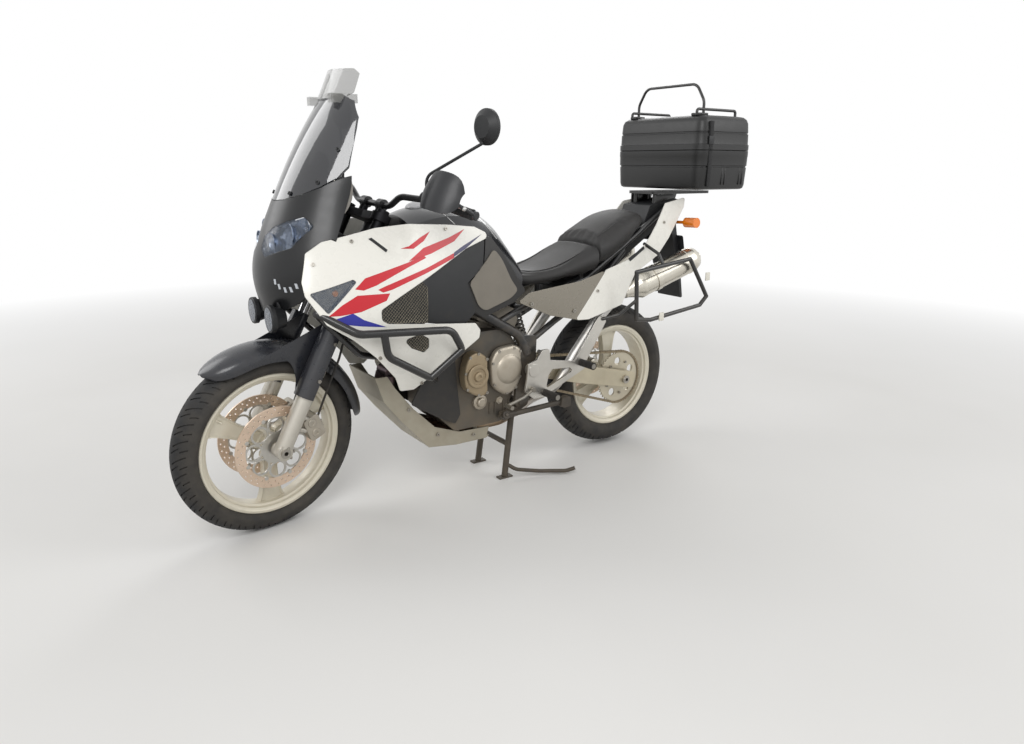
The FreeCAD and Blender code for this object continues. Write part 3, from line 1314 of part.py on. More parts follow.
@cache
def pannier_racks():
    """The hoops with their stays to the frame, the peg arms and the tail."""
    line = [V(-548, RACK_Y, 838), V(-860, RACK_Y, 872), V(-980, RACK_Y, 700), V(-940, RACK_Y, 664),
            V(-640, RACK_Y, 630), V(-560, RACK_Y, 640)]
    runs = []
    for index, start in enumerate(line):
        end = line[(index + 1) % len(line)]
        runs.append(cylinder(start, end, RACK_TUBE_R))
        runs.append(Part.makeSphere(RACK_TUBE_R, start))
    stays = [tube([V(-552, RACK_Y, 720), V(-500, 240, 660), V(-448, BRACKET_Y + 5, 640)], 7, 30),
             tube([V(-700, RACK_Y, 855), V(-700, 250, 900), V(-700, 160, 935)], 7, 20)]
    return both_sides(union(runs + stays).cut(tail_panels()).cut(subframe()).cut(foot_brackets()).cut(silencers()))


@cache
def crash_bars():
    """Tube guards along the fairing's lower edge, one loop on each side."""
    upper = tube([V(800, 262, 806), V(690, CRASH_Y, 738), V(352, CRASH_Y, 714), V(312, CRASH_Y, 640),
                  V(280, 240, 596), V(236, 146, 600)], CRASH_TUBE_R, 50)
    drop = tube([V(604, CRASH_Y, 732), V(590, CRASH_Y - 6, 650), V(430, CRASH_Y - 16, 552), V(372, 240, 520),
                 V(330, 150, 500)], CRASH_TUBE_R, 50)
    cross = cylinder(V(312, CRASH_Y, 640), V(430, CRASH_Y - 16, 552), CRASH_TUBE_R - 1)
    front = tube([V(800, 262, 806), V(764, 222, 770), V(640, 212, 640), V(520, 176, 606), V(424, 150, 618)],
                 CRASH_TUBE_R - 2, 60)
    return both_sides(union([upper, drop, cross, front]).cut(side_fairings()).cut(nose_fairing()).cut(frame())
                      .cut(radiators()).cut(inner_panels()).cut(engine_case()).cut(engine_cylinders()))


NODES = [
    # node, the function that makes it, whether it turns with the steering
    ("front_tyre", lambda: tyre(FRONT_AXLE, FRONT_TYRE_R, FRONT_TYRE_W, FRONT_RIM_R, FRONT_RIM_W), True),
    ("front_rim", lambda: rim(FRONT_AXLE, FRONT_RIM_R, FRONT_RIM_W, FRONT_HUB_W, FRONT_SPOKE_AT), True),
    ("front_discs", lambda: both_sides(disc(FRONT_AXLE, FRONT_DISC_Y, FRONT_DISC_R, FRONT_DISC_BAND,
                                            FRONT_HUB_W / 2)), True),
    ("front_axle", front_axle, True),
    ("fork_lowers", fork_lowers, True),
    ("fork_tubes", fork_tubes, True),
    ("handlebar", handlebar, True),
    ("hand_controls", hand_controls, True),
    ("handguards", handguards, True),
    ("mirrors", mirrors, True),
    ("front_mudguard", front_mudguard, True),
    ("front_calipers", front_calipers, True),
    ("brake_hoses", brake_hoses, True),
    ("rear_tyre", lambda: tyre(REAR_AXLE, REAR_TYRE_R, REAR_TYRE_W, REAR_RIM_R, REAR_RIM_W), False),
    ("rear_rim", lambda: rim(REAR_AXLE, REAR_RIM_R, REAR_RIM_W, REAR_HUB_W, REAR_SPOKE_AT), False),
    ("rear_disc", lambda: disc(REAR_AXLE, -REAR_DISC_Y, REAR_DISC_R, REAR_DISC_BAND, -REAR_HUB_W / 2), False),
    ("rear_sprocket", rear_sprocket, False),
    ("chain", chain, False),
    ("frame", frame, False),
    ("subframe", subframe, False),
    ("engine_case", engine_case, False),
    ("engine_cylinders", engine_cylinders, False),
    ("engine_covers", engine_covers, False),
    ("exhaust_pipes", exhaust_pipes, False),
    ("silencers", silencers, False),
    ("bash_plate", bash_plate, False),
    ("lower_cowls", lower_cowls, False),
    ("swingarm", swingarm, False),
    ("rear_axle", rear_axle, False),
    ("rear_shock", rear_shock, False),
    ("rear_caliper", rear_caliper, False),
    ("foot_brackets", foot_brackets, False),
    ("foot_controls", foot_controls, False),
    ("centre_stand", centre_stand, False),
    ("side_stand", side_stand, False),
    ("side_fairings", side_fairings, False),
    ("front_indicators", front_indicators, False),
    ("inner_panels", inner_panels, False),
    ("radiators", radiators, False),
    ("nose_fairing", nose_fairing, False),
    ("headlamps", headlamps, False),
    ("front_carrier", front_carrier, False),
    ("aux_lamps", aux_lamps, False),
    ("windscreen", windscreen, False),
    ("wind_deflector", wind_deflector, False),
    ("instrument_panel", instrument_panel, False),
    ("fuel_tank", fuel_tank, False),
    ("knee_panels", knee_panels, False),
    ("rider_seat", rider_seat, False),
    ("pillion_seat", pillion_seat, False),
    ("side_covers", side_covers, False),
    ("tail_panels", tail_panels, False),
    ("tail_core", tail_core, False),
    ("rear_lamps", rear_lamps, False),
    ("rear_mudguard", rear_mudguard, False),
    ("topbox_base", topbox_base, False),
    ("topbox_lid", topbox_lid, False),
    ("lid_rail", lid_rail, False),
    ("luggage_racks", lambda: Part.makeCompound([carrier_plate()] + pannier_racks().Solids), False),
    ("crash_bars", crash_bars, False),
]

os.makedirs("parts", exist_ok=True)
for node, make, turns in NODES:
    shape = make()
    if turns:
        shape = steered(shape)
    shape.exportStep("parts/" + node + ".step")
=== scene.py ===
import bpy
import math
from mathutils import Matrix, Vector


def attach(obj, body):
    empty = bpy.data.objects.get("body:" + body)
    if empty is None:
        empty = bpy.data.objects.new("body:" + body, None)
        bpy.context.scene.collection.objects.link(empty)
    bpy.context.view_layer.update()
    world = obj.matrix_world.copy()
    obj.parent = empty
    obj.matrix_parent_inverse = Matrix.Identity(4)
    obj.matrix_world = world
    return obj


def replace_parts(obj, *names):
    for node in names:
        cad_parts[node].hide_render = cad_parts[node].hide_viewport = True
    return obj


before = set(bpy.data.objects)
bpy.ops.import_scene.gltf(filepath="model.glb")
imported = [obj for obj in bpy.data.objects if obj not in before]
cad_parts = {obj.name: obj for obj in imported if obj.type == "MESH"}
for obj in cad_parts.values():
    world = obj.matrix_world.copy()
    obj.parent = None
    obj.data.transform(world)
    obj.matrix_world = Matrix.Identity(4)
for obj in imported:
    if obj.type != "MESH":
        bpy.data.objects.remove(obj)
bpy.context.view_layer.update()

# Camera
# It stands 3 m from the machine at chest height and looks down on its left front, as in the photograph.
# The angles and the lens were solved for a frame of 1024 by 744.
CAMERA_AT = Vector((1.6004, 2.4981, 1.2582))
CAMERA_HEADING = math.radians(145.34)
CAMERA_DOWN = math.radians(15.52)
CAMERA_ROLL = math.radians(0.34)
sight = Vector((-math.sin(CAMERA_HEADING) * math.cos(CAMERA_DOWN),
                math.cos(CAMERA_HEADING) * math.cos(CAMERA_DOWN), -math.sin(CAMERA_DOWN)))
level = sight.cross(Vector((0, 0, 1))).normalized()
upright = level.cross(sight)
across = level * math.cos(CAMERA_ROLL) + upright * math.sin(CAMERA_ROLL)
above = upright * math.cos(CAMERA_ROLL) - level * math.sin(CAMERA_ROLL)
camera = bpy.data.objects.new("camera", bpy.data.cameras.new("camera"))
camera.data.sensor_width = 36.0
camera.data.lens = 26.26
camera.matrix_world = Matrix.Translation(CAMERA_AT) @ Matrix((across, above, -sight)).transposed().to_4x4()
bpy.context.scene.collection.objects.link(camera)
bpy.context.scene.camera = camera


# Studio
# A plain pale floor under a white sky, with four large soft lamps, so that each side is lit alike
# and a colour renders about as it is written.
class Wire:
    """A shader socket that can stand in a sum."""

    def __init__(self, finish, socket):
        self.finish = finish
        self.socket = socket

    def maths(self, operation, first, second):
        return self.finish.node("Math", {"operation": operation}, {0: first, 1: second})

    def __add__(self, other):
        return self.maths("ADD", self, other)

    def __sub__(self, other):
        return self.maths("SUBTRACT", self, other)

    def __rsub__(self, other):
        return self.maths("SUBTRACT", other, self)

    def __mul__(self, other):
        return self.maths("MULTIPLY", self, other)

    def __gt__(self, other):
        return self.maths("GREATER_THAN", self, other)

    __radd__ = __add__
    __rmul__ = __mul__


class Finish:
    """One material, put together node by node."""

    def __init__(self, name):
        self.material = bpy.data.materials.new(name)
        self.material.use_nodes = True
        self.tree = self.material.node_tree
        self.tree.nodes.clear()
        self.place = self.node("TexCoord", output="Object")

    def node(self, kind, settings=None, inputs=None, output=0):
        """Adds a node, sets it up, joins its sockets and gives one of its outputs."""
        made = self.tree.nodes.new("ShaderNode" + kind)
        for name, value in (settings or {}).items():
            if name == "stops":
                for number, (position, stop_colour) in enumerate(value):
                    stops = made.color_ramp.elements
                    stop = stops[number] if number < len(stops) else stops.new(position)
                    stop.position = position
                    stop.color = stop_colour
            else:
                setattr(made, name, value)
        for name, value in (inputs or {}).items():
            if isinstance(value, Wire):
                self.tree.links.new(value.socket, made.inputs[name])
            else:
                made.inputs[name].default_value = value
        return Wire(self, made.outputs[output]) if made.outputs else None

    def axes(self):
        first = self.node("SeparateXYZ", None, {0: self.place})
        return [Wire(self, socket) for socket in first.socket.node.outputs]

    def noise(self, scale, detail=2.0, stretch=(1, 1, 1)):
        place = self.place
        if stretch != (1, 1, 1):
            place = self.node("Mapping", None, {"Vector": place, "Scale": stretch})
        return self.node("TexNoise", None, {"Vector": place, "Scale": scale, "Detail": detail})

    def waves(self, direction, scale, distortion=0.0):
        return self.node("TexWave", {"bands_direction": direction},
                         {"Vector": self.place, "Scale": scale, "Distortion": distortion})

    def cells(self, scale):
        """How far each place is from the middle of the cell that it lies in."""
        return self.node("TexVoronoi", None, {"Vector": self.place, "Scale": scale}, output="Distance")

    def spread(self, wire, low, high):
        """0 where the wire is at low, 1 where it is at high."""
        return self.node("MapRange", {"clamp": True}, {"Value": wire, "From Min": low, "From Max": high})

    def mix(self, share, first, second):
        return self.node("Mix", {"data_type": "RGBA"}, {0: share, 6: first, 7: second}, output=2)

    def shade(self, base, rough, bump=None, height=0.0002, rounding=0.0, fixed=None):
        """Adds the shader; rounding softens the piece's edges by that radius."""
        normal = self.node("Bevel", {"samples": 4}, {"Radius": rounding}) if rounding else None
        if bump:
            relief = {"Strength": 1.0, "Distance": height, "Height": bump}
            if normal:
                relief["Normal"] = normal
            normal = self.node("Bump", None, relief)
        inputs = {"Base Color": base, "Roughness": rough, **(fixed or {})}
        if normal:
            inputs["Normal"] = normal
        shader = self.node("BsdfPrincipled", None, inputs)
        self.node("OutputMaterial", None, {"Surface": shader})
        return self.material


def tint(red, green, blue):
    """A colour as it shows on a screen, 0 to 255, as the shader wants it."""
    shares = [part / 255 for part in (red, green, blue)]
    linear = [part / 12.92 if part <= 0.04045 else ((part + 0.055) / 1.055) ** 2.4 for part in shares]
    return (*linear, 1.0)


paving = Finish("pale floor")
distance = paving.node("VectorMath", {"operation": "LENGTH"}, {0: paving.place}, output="Value")
far_away = paving.spread(distance, 2.6, 6.0)
near_colour = paving.mix(paving.noise(1.3), tint(226, 225, 222), tint(232, 231, 229))
floor_finish = paving.shade(paving.mix(far_away, near_colour, (0, 0, 0, 1)),
                            0.75, fixed={"Specular IOR Level": 0.0, "Emission Strength": 1.0,
                                         "Emission Color": paving.mix(far_away, (0, 0, 0, 1), (1, 1, 1, 1))})
bpy.ops.object.select_all(action="DESELECT")
bpy.ops.mesh.primitive_plane_add(size=80)
floor = bpy.context.object
floor.name = "floor"
floor.data.materials.append(floor_finish)

# how strongly the white sky lights dull surfaces
SKY_ON_THINGS = 0.46
sky = bpy.data.worlds.new("sky")
bpy.context.scene.world = sky
sky.use_nodes = True
sky_nodes = sky.node_tree.nodes
sky_links = sky.node_tree.links
rays = sky_nodes.new("ShaderNodeLightPath")
shown = rays.outputs["Is Camera Ray"]
for kind in ("Is Glossy Ray", "Is Transmission Ray"):
    either = sky_nodes.new("ShaderNodeMath")
    either.operation = "MAXIMUM"
    sky_links.new(shown, either.inputs[0])
    sky_links.new(rays.outputs[kind], either.inputs[1])
    shown = either.outputs[0]
strength = sky_nodes.new("ShaderNodeMapRange")
strength.inputs["To Min"].default_value = SKY_ON_THINGS
strength.inputs["To Max"].default_value = 1.0
sky_links.new(shown, strength.inputs["Value"])
background = sky_nodes["Background"]
background.inputs["Color"].default_value = (1, 1, 1, 1)
sky_links.new(strength.outputs[0], background.inputs["Strength"])

LAMPS = [
    # place, watts, edge length
    ((2.6, 3.2, 3.4), 92, 2.2),
    ((-3.0, 3.0, 3.2), 52, 2.6),
    ((3.0, -3.0, 3.2), 52, 2.6),
    ((-3.0, -3.0, 3.4), 60, 2.6),
]
for number, (place, watts, edge) in enumerate(LAMPS):
    lamp = bpy.data.objects.new(f"lamp_{number}", bpy.data.lights.new(f"lamp_{number}", "AREA"))
    lamp.data.energy = watts
    lamp.data.size = edge
    lamp.location = place
    lamp.rotation_euler = (Vector((0, 0, 0.6)) - Vector(place)).to_track_quat("-Z", "Y").to_euler()
    bpy.context.scene.collection.objects.link(lamp)
bpy.context.scene.view_settings.view_transform = "Standard"


# Main frame and tail frame
# Steel tubes, welded and painted black, with the steering head in front and pivot plates at the rear.
def painted(name, colour, rough, dust=0.0, metallic=0.0, coat=0.0, rounding=0.0015):
    """Sprayed paint: a little uneven in gloss, with road dust that lies thicker lower down."""
    paint = Finish(name)
    height_above_floor = paint.axes()[2]
    film = paint.noise(34, 4)
    low = 1 - paint.spread(height_above_floor, 0.1, 0.9)
    dirt = paint.spread(film * 0.6 + low * 0.7, 0.45, 1.1) * dust
    base = paint.mix(dirt, colour, DUST)
    gloss = rough + dirt * 0.5 + (film - 0.5) * 0.12
    return paint.shade(base, gloss, paint.noise(700, 1), 0.00002, rounding,
                       {"Metallic": metallic, "Coat Weight": coat, "Coat Roughness": 0.12})


def dress(material, *names):
    """Gives the frame's own nodes a finish."""
    for name in names:
        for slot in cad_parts[name].material_slots:
            slot.material = material


DUST = tint(138, 124, 104)
black_tube = painted("black frame paint", tint(26, 26, 27), 0.38, dust=0.5, coat=0.3)
dress(black_tube, "frame", "subframe")


# Engine
# Two aluminium cylinders at right angles on one case, with cast covers screwed to its sides.
# The left side has the oval generator cover and a large plain cover over the front sprocket.
AHEAD, SIDE, UP = Vector((1, 0, 0)), Vector((0, 1, 0)), Vector((0, 0, 1))


def mm(*points):
    """Points given in millimetres, in metres."""
    return [tuple(part / 1000 for part in point) for point in points]


def deselect():
    if bpy.context.object and bpy.context.object.mode != "OBJECT":
        bpy.ops.object.mode_set(mode="OBJECT")
    bpy.ops.object.select_all(action="DESELECT")


def pick(thing):
    """Leaves just this piece selected and active."""
    deselect()
    bpy.context.view_layer.objects.active = thing
    thing.select_set(True)


def edit_all():
    """Goes into edit mode with everything selected."""
    bpy.ops.object.mode_set(mode="EDIT")
    bpy.ops.mesh.select_all(action="SELECT")


def extrude(way):
    bpy.ops.mesh.extrude_region_move(TRANSFORM_OT_translate={"value": way})


def draw(name, points):
    """Starts a mesh as one vertex, extrudes it from point to point and stays in edit mode."""
    deselect()
    bpy.ops.mesh.primitive_plane_add(size=0.01)
    thing = bpy.context.object
    thing.name = name
    bpy.ops.object.mode_set(mode="EDIT")
    bpy.ops.mesh.select_mode(type="VERT")
    bpy.ops.mesh.select_all(action="SELECT")
    bpy.ops.mesh.merge(type="CENTER")
    bpy.ops.transform.translate(value=points[0])
    for start, end in zip(points, points[1:]):
        extrude(Vector(end) - Vector(start))
    return thing


# points closer than this are one
SAME_PLACE = 0.00002


def close_up(thing):
    """Merges the doubles, turns every face outward and leaves edit mode."""
    bpy.ops.mesh.select_all(action="SELECT")
    bpy.ops.mesh.remove_doubles(threshold=SAME_PLACE)
    bpy.ops.mesh.normals_make_consistent(inside=False)
    bpy.ops.object.mode_set(mode="OBJECT")
    return thing


def cut_plate(name, outline, thickness, bevel=0.0, segments=2):
    """Saws an outline from sheet or casts it, and rounds its edges."""
    thing = draw(name, outline)
    bpy.ops.mesh.select_all(action="SELECT")
    bpy.ops.mesh.edge_face_add()
    extrude(thickness)
    close_up(thing)
    return rounded_off(thing, bevel, segments) if bevel else thing


def rounded_off(thing, width, segments=2, angle=40):
    bevel = thing.modifiers.new("bevel", "BEVEL")
    bevel.width = width
    bevel.segments = segments
    bevel.limit_method = "ANGLE"
    bevel.angle_limit = math.radians(angle)
    return applied(thing, bevel)


def applied(thing, modifier):
    pick(thing)
    bpy.ops.object.modifier_apply(modifier=modifier.name)
    return thing


def turn(name, profile, foot, axis, steps=32):
    """Turns (along, radius) points about an axis, as on a lathe."""
    axis = Vector(axis).normalized()
    out = axis.orthogonal().normalized()
    thing = draw(name, [Vector(foot) + axis * along + out * radius for along, radius in profile])
    bpy.ops.mesh.select_all(action="SELECT")
    bpy.ops.mesh.spin(steps=steps, angle=math.tau, center=foot, axis=axis)
    return close_up(thing)


def smoothed(outline, radius, steps=4):
    """The corners of a closed flat outline drawn as arcs."""
    made = []
    for number, corner in enumerate(outline):
        corner = Vector(corner)
        back = Vector(outline[number - 1]) - corner
        onward = Vector(outline[(number + 1) % len(outline)]) - corner
        reach = min(radius, 0.45 * back.length, 0.45 * onward.length)
        start = corner + back.normalized() * reach
        end = corner + onward.normalized() * reach
        for step in range(steps + 1):
            share = step / steps
            made.append(start * (1 - share) ** 2 + corner * 2 * share * (1 - share) + end * share ** 2)
    return made


def rectangle(x, z, half_x, half_z):
    return [(x + a * half_x, z + b * half_z) for a, b in ((-1, -1), (1, -1), (1, 1), (-1, 1))]


def on_circle(centre, radius, angle, side=0.0):
    """A point on a circle seen from the side, moved sideways."""
    return centre + Vector((radius * math.cos(angle), side, radius * math.sin(angle)))


def side_view(outline, y):
    return [Vector((x, y, z)) for x, z in outline]


def join(name, things):
    deselect()
    for thing in things:
        thing.select_set(True)
    bpy.context.view_layer.objects.active = things[0]
    bpy.ops.object.join()
    joined = bpy.context.object
    joined.name = name
    return joined


def copied(thing, matrix):
    """A copy with a mesh of its own, placed by a matrix."""
    copy = thing.copy()
    copy.data = thing.data.copy()
    copy.data.transform(matrix)
    if matrix.determinant() < 0:
        copy.data.flip_normals()
    bpy.context.scene.collection.objects.link(copy)
    return copy


ACROSS = Matrix.Scale(-1, 4, SIDE)


def both_sides(thing):
    return join(thing.name, [thing, copied(thing, ACROSS)])


def set_out(name, pattern, places):
    """Copies of a pattern piece, each at a point with its Z axis along a direction."""
    made = []
    for point, direction in places:
        aim = Vector(direction).to_track_quat("Z", "Y").to_matrix().to_4x4()
        made.append(copied(pattern, Matrix.Translation(point) @ aim))
    bpy.data.objects.remove(pattern)
    return join(name, made)


def fit(thing, material, body, angle=35):
    """Gives a piece its finish, smooths its round faces and fixes it to its body."""
    thing.data.materials.clear()
    thing.data.materials.append(material)
    pick(thing)
    bpy.ops.object.shade_smooth_by_angle(angle=math.radians(angle))
    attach(thing, body)
    return thing


def fit_both(thing, material, angle=35):
    """Fixes a piece and its mirror image to the machine."""
    return fit(both_sides(thing), material, "chassis", angle)


def select_faces(thing, wanted):
    """Leaves just the wanted faces selected, in edit mode."""
    bpy.ops.object.mode_set(mode="EDIT")
    bpy.ops.mesh.select_mode(type="FACE")
    bpy.ops.mesh.select_all(action="DESELECT")
    bpy.ops.object.mode_set(mode="OBJECT")
    for face in thing.data.polygons:
        face.select = wanted(face)
    bpy.ops.object.mode_set(mode="EDIT")


def cap_screw(radius):
    """A socket screw's head, foot at the origin, pointing up Z."""
    deselect()
    bpy.ops.mesh.primitive_cylinder_add(vertices=18, radius=radius, depth=radius, location=(0, 0, radius / 2))
    screw = bpy.context.object
    bpy.ops.object.transform_apply(location=True)
    select_faces(screw, lambda face: face.normal.z > 0.9)
    bpy.ops.mesh.inset(thickness=radius * 0.15)
    bpy.ops.mesh.inset(thickness=radius * 0.35)
    extrude(-UP * radius * 0.6)
    bpy.ops.object.mode_set(mode="OBJECT")
    return screw


def cast_metal(name, colour, rough=0.5, metallic=0.75, dust=0.5, grain=0.00012, rounding=0.003):
    """Sand-cast or blasted metal: a fine grain, stains, and dust in the lower parts."""
    cast = Finish(name)
    height_above_floor = cast.axes()[2]
    stain = cast.noise(18, 5)
    low = 1 - cast.spread(height_above_floor, 0.1, 0.8)
    dirt = cast.spread(stain * 0.9 + low * 0.5, 0.5, 1.05) * dust
    worn = cast.mix(cast.spread(cast.noise(7, 3), 0.35, 0.7), colour,
                    tuple(part * 0.8 for part in colour[:3]) + (1,))
    return cast.shade(cast.mix(dirt, worn, DUST), rough + dirt * 0.3 + (stain - 0.5) * 0.15,
                      cast.noise(520, 3), grain, rounding, {"Metallic": metallic})


ENGINE_GREY = tint(92, 89, 84)
ENGINE_SILVER = tint(188, 180, 166)
COVER_BRONZE = tint(164, 147, 120)
CASE_SIDE = 0.128
CLUTCH = Vector((0.062, -CASE_SIDE, 0.450))
case_metal = cast_metal("engine case metal", ENGINE_GREY)
silver_cover = cast_metal("silver cover metal", ENGINE_SILVER, 0.42, grain=0.00006)
bronze_cover = cast_metal("bronze cover metal", COVER_BRONZE, 0.45, 0.6)
screw_steel = cast_metal("zinc screw steel", tint(170, 166, 158), 0.35, 0.9, 0.3, 0.00002, 0.0005)
dress(case_metal, "engine_case")
dress(cast_metal("cylinder metal", tint(140, 134, 124)), "engine_cylinders")

GENERATOR_OUTLINE = mm((108, 402), (150, 398), (205, 430), (212, 500), (190, 566), (150, 578), (108, 550))
generator = cut_plate("generator_cover", smoothed(side_view(GENERATOR_OUTLINE, CASE_SIDE), 0.030, 6),
                      SIDE * 0.052, 0.009, 4)
eye_at = Vector((0.158, CASE_SIDE + 0.050, 0.484))
eye = turn("generator_eye", mm((0, 0), (0, 46), (12, 46), (15, 43), (15, 32), (11, 30), (11, 20), (19, 18),
                               (21, 15), (21, 8), (17, 7), (17, 0)), eye_at, SIDE, 40)
fit(join("generator_cover", [generator, eye]), bronze_cover, "chassis")

SPROCKET_COVER_OUTLINE = mm((-64, 440), (-64, 560), (-30, 578), (50, 572), (84, 520), (76, 420),
                            (10, 372), (-40, 392))
sprocket_cover = cut_plate("sprocket_cover", smoothed(side_view(SPROCKET_COVER_OUTLINE, CASE_SIDE), 0.034, 6),
                           SIDE * 0.034, 0.014, 5)
cover_dome = turn("cover_dome", mm((0, 0), (0, 60), (6, 56), (11, 44), (13, 30), (13, 0)),
                  (-0.002, CASE_SIDE + 0.032, 0.484), SIDE, 40)
clutch = turn("clutch_cover", mm((0, 0), (0, 90), (26, 90), (34, 82), (34, 69), (43, 66), (46, 60), (46, 24),
                                 (42, 20), (42, 0)), CLUTCH, -SIDE, 48)
starter = turn("starter_cover", mm((0, 0), (0, 42), (22, 42), (26, 38), (26, 12), (22, 10), (22, 0)),
               (0.166, -CASE_SIDE, 0.470), -SIDE, 32)
covers = join("side_covers_of_engine", [sprocket_cover, cover_dome, clutch, starter])
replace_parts(fit(covers, silver_cover, "chassis"), "engine_covers")

screw_places = []
SCREWED_EDGES = (
    # a cover's outline, how much smaller the screws' line is, and how far out they stand
    (GENERATOR_OUTLINE, 0.90, CASE_SIDE + 0.049),
    (SPROCKET_COVER_OUTLINE, 0.86, CASE_SIDE + 0.031),
)
for outline, shrink, y in SCREWED_EDGES:
    middle = sum((Vector(corner) for corner in outline), Vector((0, 0))) / len(outline)
    for corner in outline:
        place = middle + (Vector(corner) - middle) * shrink
        screw_places.append(((place.x, y, place.y), SIDE))
screw_places += [(on_circle(CLUTCH, 0.076, math.tau * number / 9, -0.033), -SIDE) for number in range(9)]
fit(set_out("engine_screws", cap_screw(0.0055), screw_places), screw_steel, "chassis")

pump = turn("water_pump", mm((-4, 0), (-4, 30), (10, 30), (12, 27), (12, 20), (22, 18), (25, 14), (25, 0)),
            (0.118, CASE_SIDE, 0.362), SIDE, 36)
plug = turn("oil_plug", mm((-2, 0), (-2, 16), (4, 16), (4, 9), (10, 9), (10, 0)),
            (0.024, CASE_SIDE, 0.352), SIDE, 6)
fit(join("water_pump", [pump, plug]), silver_cover, "chassis")
case_ribs = [cut_plate("rib", side_view(rectangle(x, 0.325, 0.0025, 0.025), CASE_SIDE - 0.002), SIDE * 0.007,
                       0.001, 1) for x in (-0.045, -0.020, 0.005, 0.045, 0.070)]
fit_both(join("case_ribs", case_ribs), case_metal)

# Exhaust
# Two steel pipes run from the front cylinder under the engine and rise behind it to a polished
# silencer on each side, held by a strap. Heat has browned the pipes.
heat = Finish("heated pipe steel")
heat_low = heat.spread(heat.axes()[0], -0.3, 0.45)
heat_colour = heat.node("ValToRGB", {"stops": [(0.0, tint(206, 204, 200)), (0.45, tint(150, 130, 108)),
                                               (0.8, tint(112, 82, 66)), (1.0, tint(104, 92, 96))]},
                        {"Fac": heat_low + (heat.noise(22, 4) - 0.5) * 0.5})
pipe_steel = heat.shade(heat_colour, 0.36 + heat.noise(60, 3) * 0.2, heat.noise(300, 2), 0.00004,
                        fixed={"Metallic": 0.9})
dress(pipe_steel, "exhaust_pipes")

polish = Finish("polished silencer steel")
brushing = polish.noise(240, 2, (1, 1, 14))
smear = polish.noise(9, 4)
silencer_rough = 0.16 + smear * 0.14 + brushing * 0.06
silencer_steel = polish.shade(polish.mix(smear, tint(196, 190, 176), tint(222, 218, 208)), silencer_rough,
                              brushing, 0.00001, 0.001, {"Metallic": 1.0})
SILENCER_FRONT = Vector((-0.590, 0.166, 0.733))
SILENCER_REAR = Vector((-0.966, 0.214, 0.868))
SILENCER_R = 0.056
silencer_line = SILENCER_REAR - SILENCER_FRONT
reach = silencer_line.length
can = turn("silencer_left",
           [(0.0, 0.018), (0.0, 0.024), (0.012, 0.026), (0.055, 0.044), (0.074, 0.0545), (0.080, SILENCER_R),
            (0.092, SILENCER_R), (0.094, 0.0545), (reach - 0.066, 0.0545), (reach - 0.064, SILENCER_R),
            (reach - 0.040, SILENCER_R), (reach - 0.034, 0.055), (reach - 0.010, 0.046),
            (reach - 0.004, 0.040), (reach - 0.004, 0.026), (reach + 0.008, 0.0225), (reach + 0.012, 0.0215),
            (reach + 0.012, 0.018), (reach - 0.060, 0.0175), (reach - 0.060, 0.0)], SILENCER_FRONT,
           silencer_line, 48)
strap = turn("silencer_strap", mm((150, 55), (150, 57.5), (175, 57.5), (175, 55)), SILENCER_FRONT,
             silencer_line, 48)
cans = both_sides(join("silencer_cans", [can, strap]))
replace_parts(fit(cans, silencer_steel, "chassis"), "silencers")

# Swingarm, rear spindle and shock
# A box-section light-alloy arm each side of the rear wheel, on one pivot through the frame's plates.
# A single shock with a coil spring stands in front of the wheel.
arm_alloy = cast_metal("silver arm alloy", tint(205, 196, 172), 0.38, 0.6, 0.35, 0.00004, 0.004)
dress(arm_alloy, "swingarm")
axle_steel = cast_metal("spindle steel", tint(182, 178, 170), 0.3, 0.95, 0.2, 0.00001, 0.001)
dress(axle_steel, "rear_axle", "front_axle")


def pipe(name, route, radius, sides=12, order=3):
    """A round bar, hose or wire along a smooth line through its control points."""
    line = bpy.data.curves.new(name, "CURVE")
    line.dimensions = "3D"
    line.bevel_depth = radius
    line.bevel_resolution = max(1, sides // 4 - 1)
    line.use_fill_caps = True
    spline = line.splines.new("NURBS")
    spline.points.add(len(route) - 1)
    for point, place in zip(spline.points, route):
        point.co = (*place, 1)
    spline.order_u = order
    spline.use_endpoint_u = True
    spline.resolution_u = 5
    made = bpy.data.objects.new(name, line)
    bpy.context.scene.collection.objects.link(made)
    pick(made)
    bpy.ops.object.convert(target="MESH")
    return bpy.context.object


def coil(name, start, end, radius, wire, turns):
    """A coil spring between two points."""
    axis = (Vector(end) - Vector(start)).normalized()
    out = axis.orthogonal().normalized()
    beside = axis.cross(out)
    length = (Vector(end) - Vector(start)).length
    count = int(turns * 10)
    route = [Vector(start) + axis * length * step / count
             + (out * math.cos(math.tau * step / 10) + beside * math.sin(math.tau * step / 10)) * radius
             for step in range(count + 1)]
    return pipe(name, route, wire, 8)


SHOCK_LOW = Vector((-0.205, 0, 0.452))
SHOCK_HIGH = Vector((-0.120, 0, 0.700))
shock_line = (SHOCK_HIGH - SHOCK_LOW).normalized()
shock_length = (SHOCK_HIGH - SHOCK_LOW).length
damper = turn("shock_damper", [(0, 0), (0, 0.016), (0.055, 0.016), (0.056, 0.031), (0.064, 0.033),
                               (0.068, 0.020), (0.150, 0.020), (0.150, 0.010), (shock_length - 0.050, 0.010),
                               (shock_length - 0.048, 0.032), (shock_length - 0.034, 0.032),
                               (shock_length - 0.030, 0.018), (shock_length, 0.016), (shock_length, 0)],
              SHOCK_LOW, shock_line)
eyes = [turn("shock_eye", mm((-20, 0), (-20, 18), (20, 18), (20, 0)), place, SIDE, 24)
        for place in (SHOCK_LOW, SHOCK_HIGH)]
cross_tube = turn("shock_cross_tube", mm((-110, 0), (-110, 11), (110, 11), (110, 0)), SHOCK_HIGH, SIDE, 20)
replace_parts(fit(join("shock_body", [damper, cross_tube] + eyes), black_tube, "chassis"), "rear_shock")
spring_paint = painted("spring paint", tint(120, 116, 110), 0.35, dust=0.4)
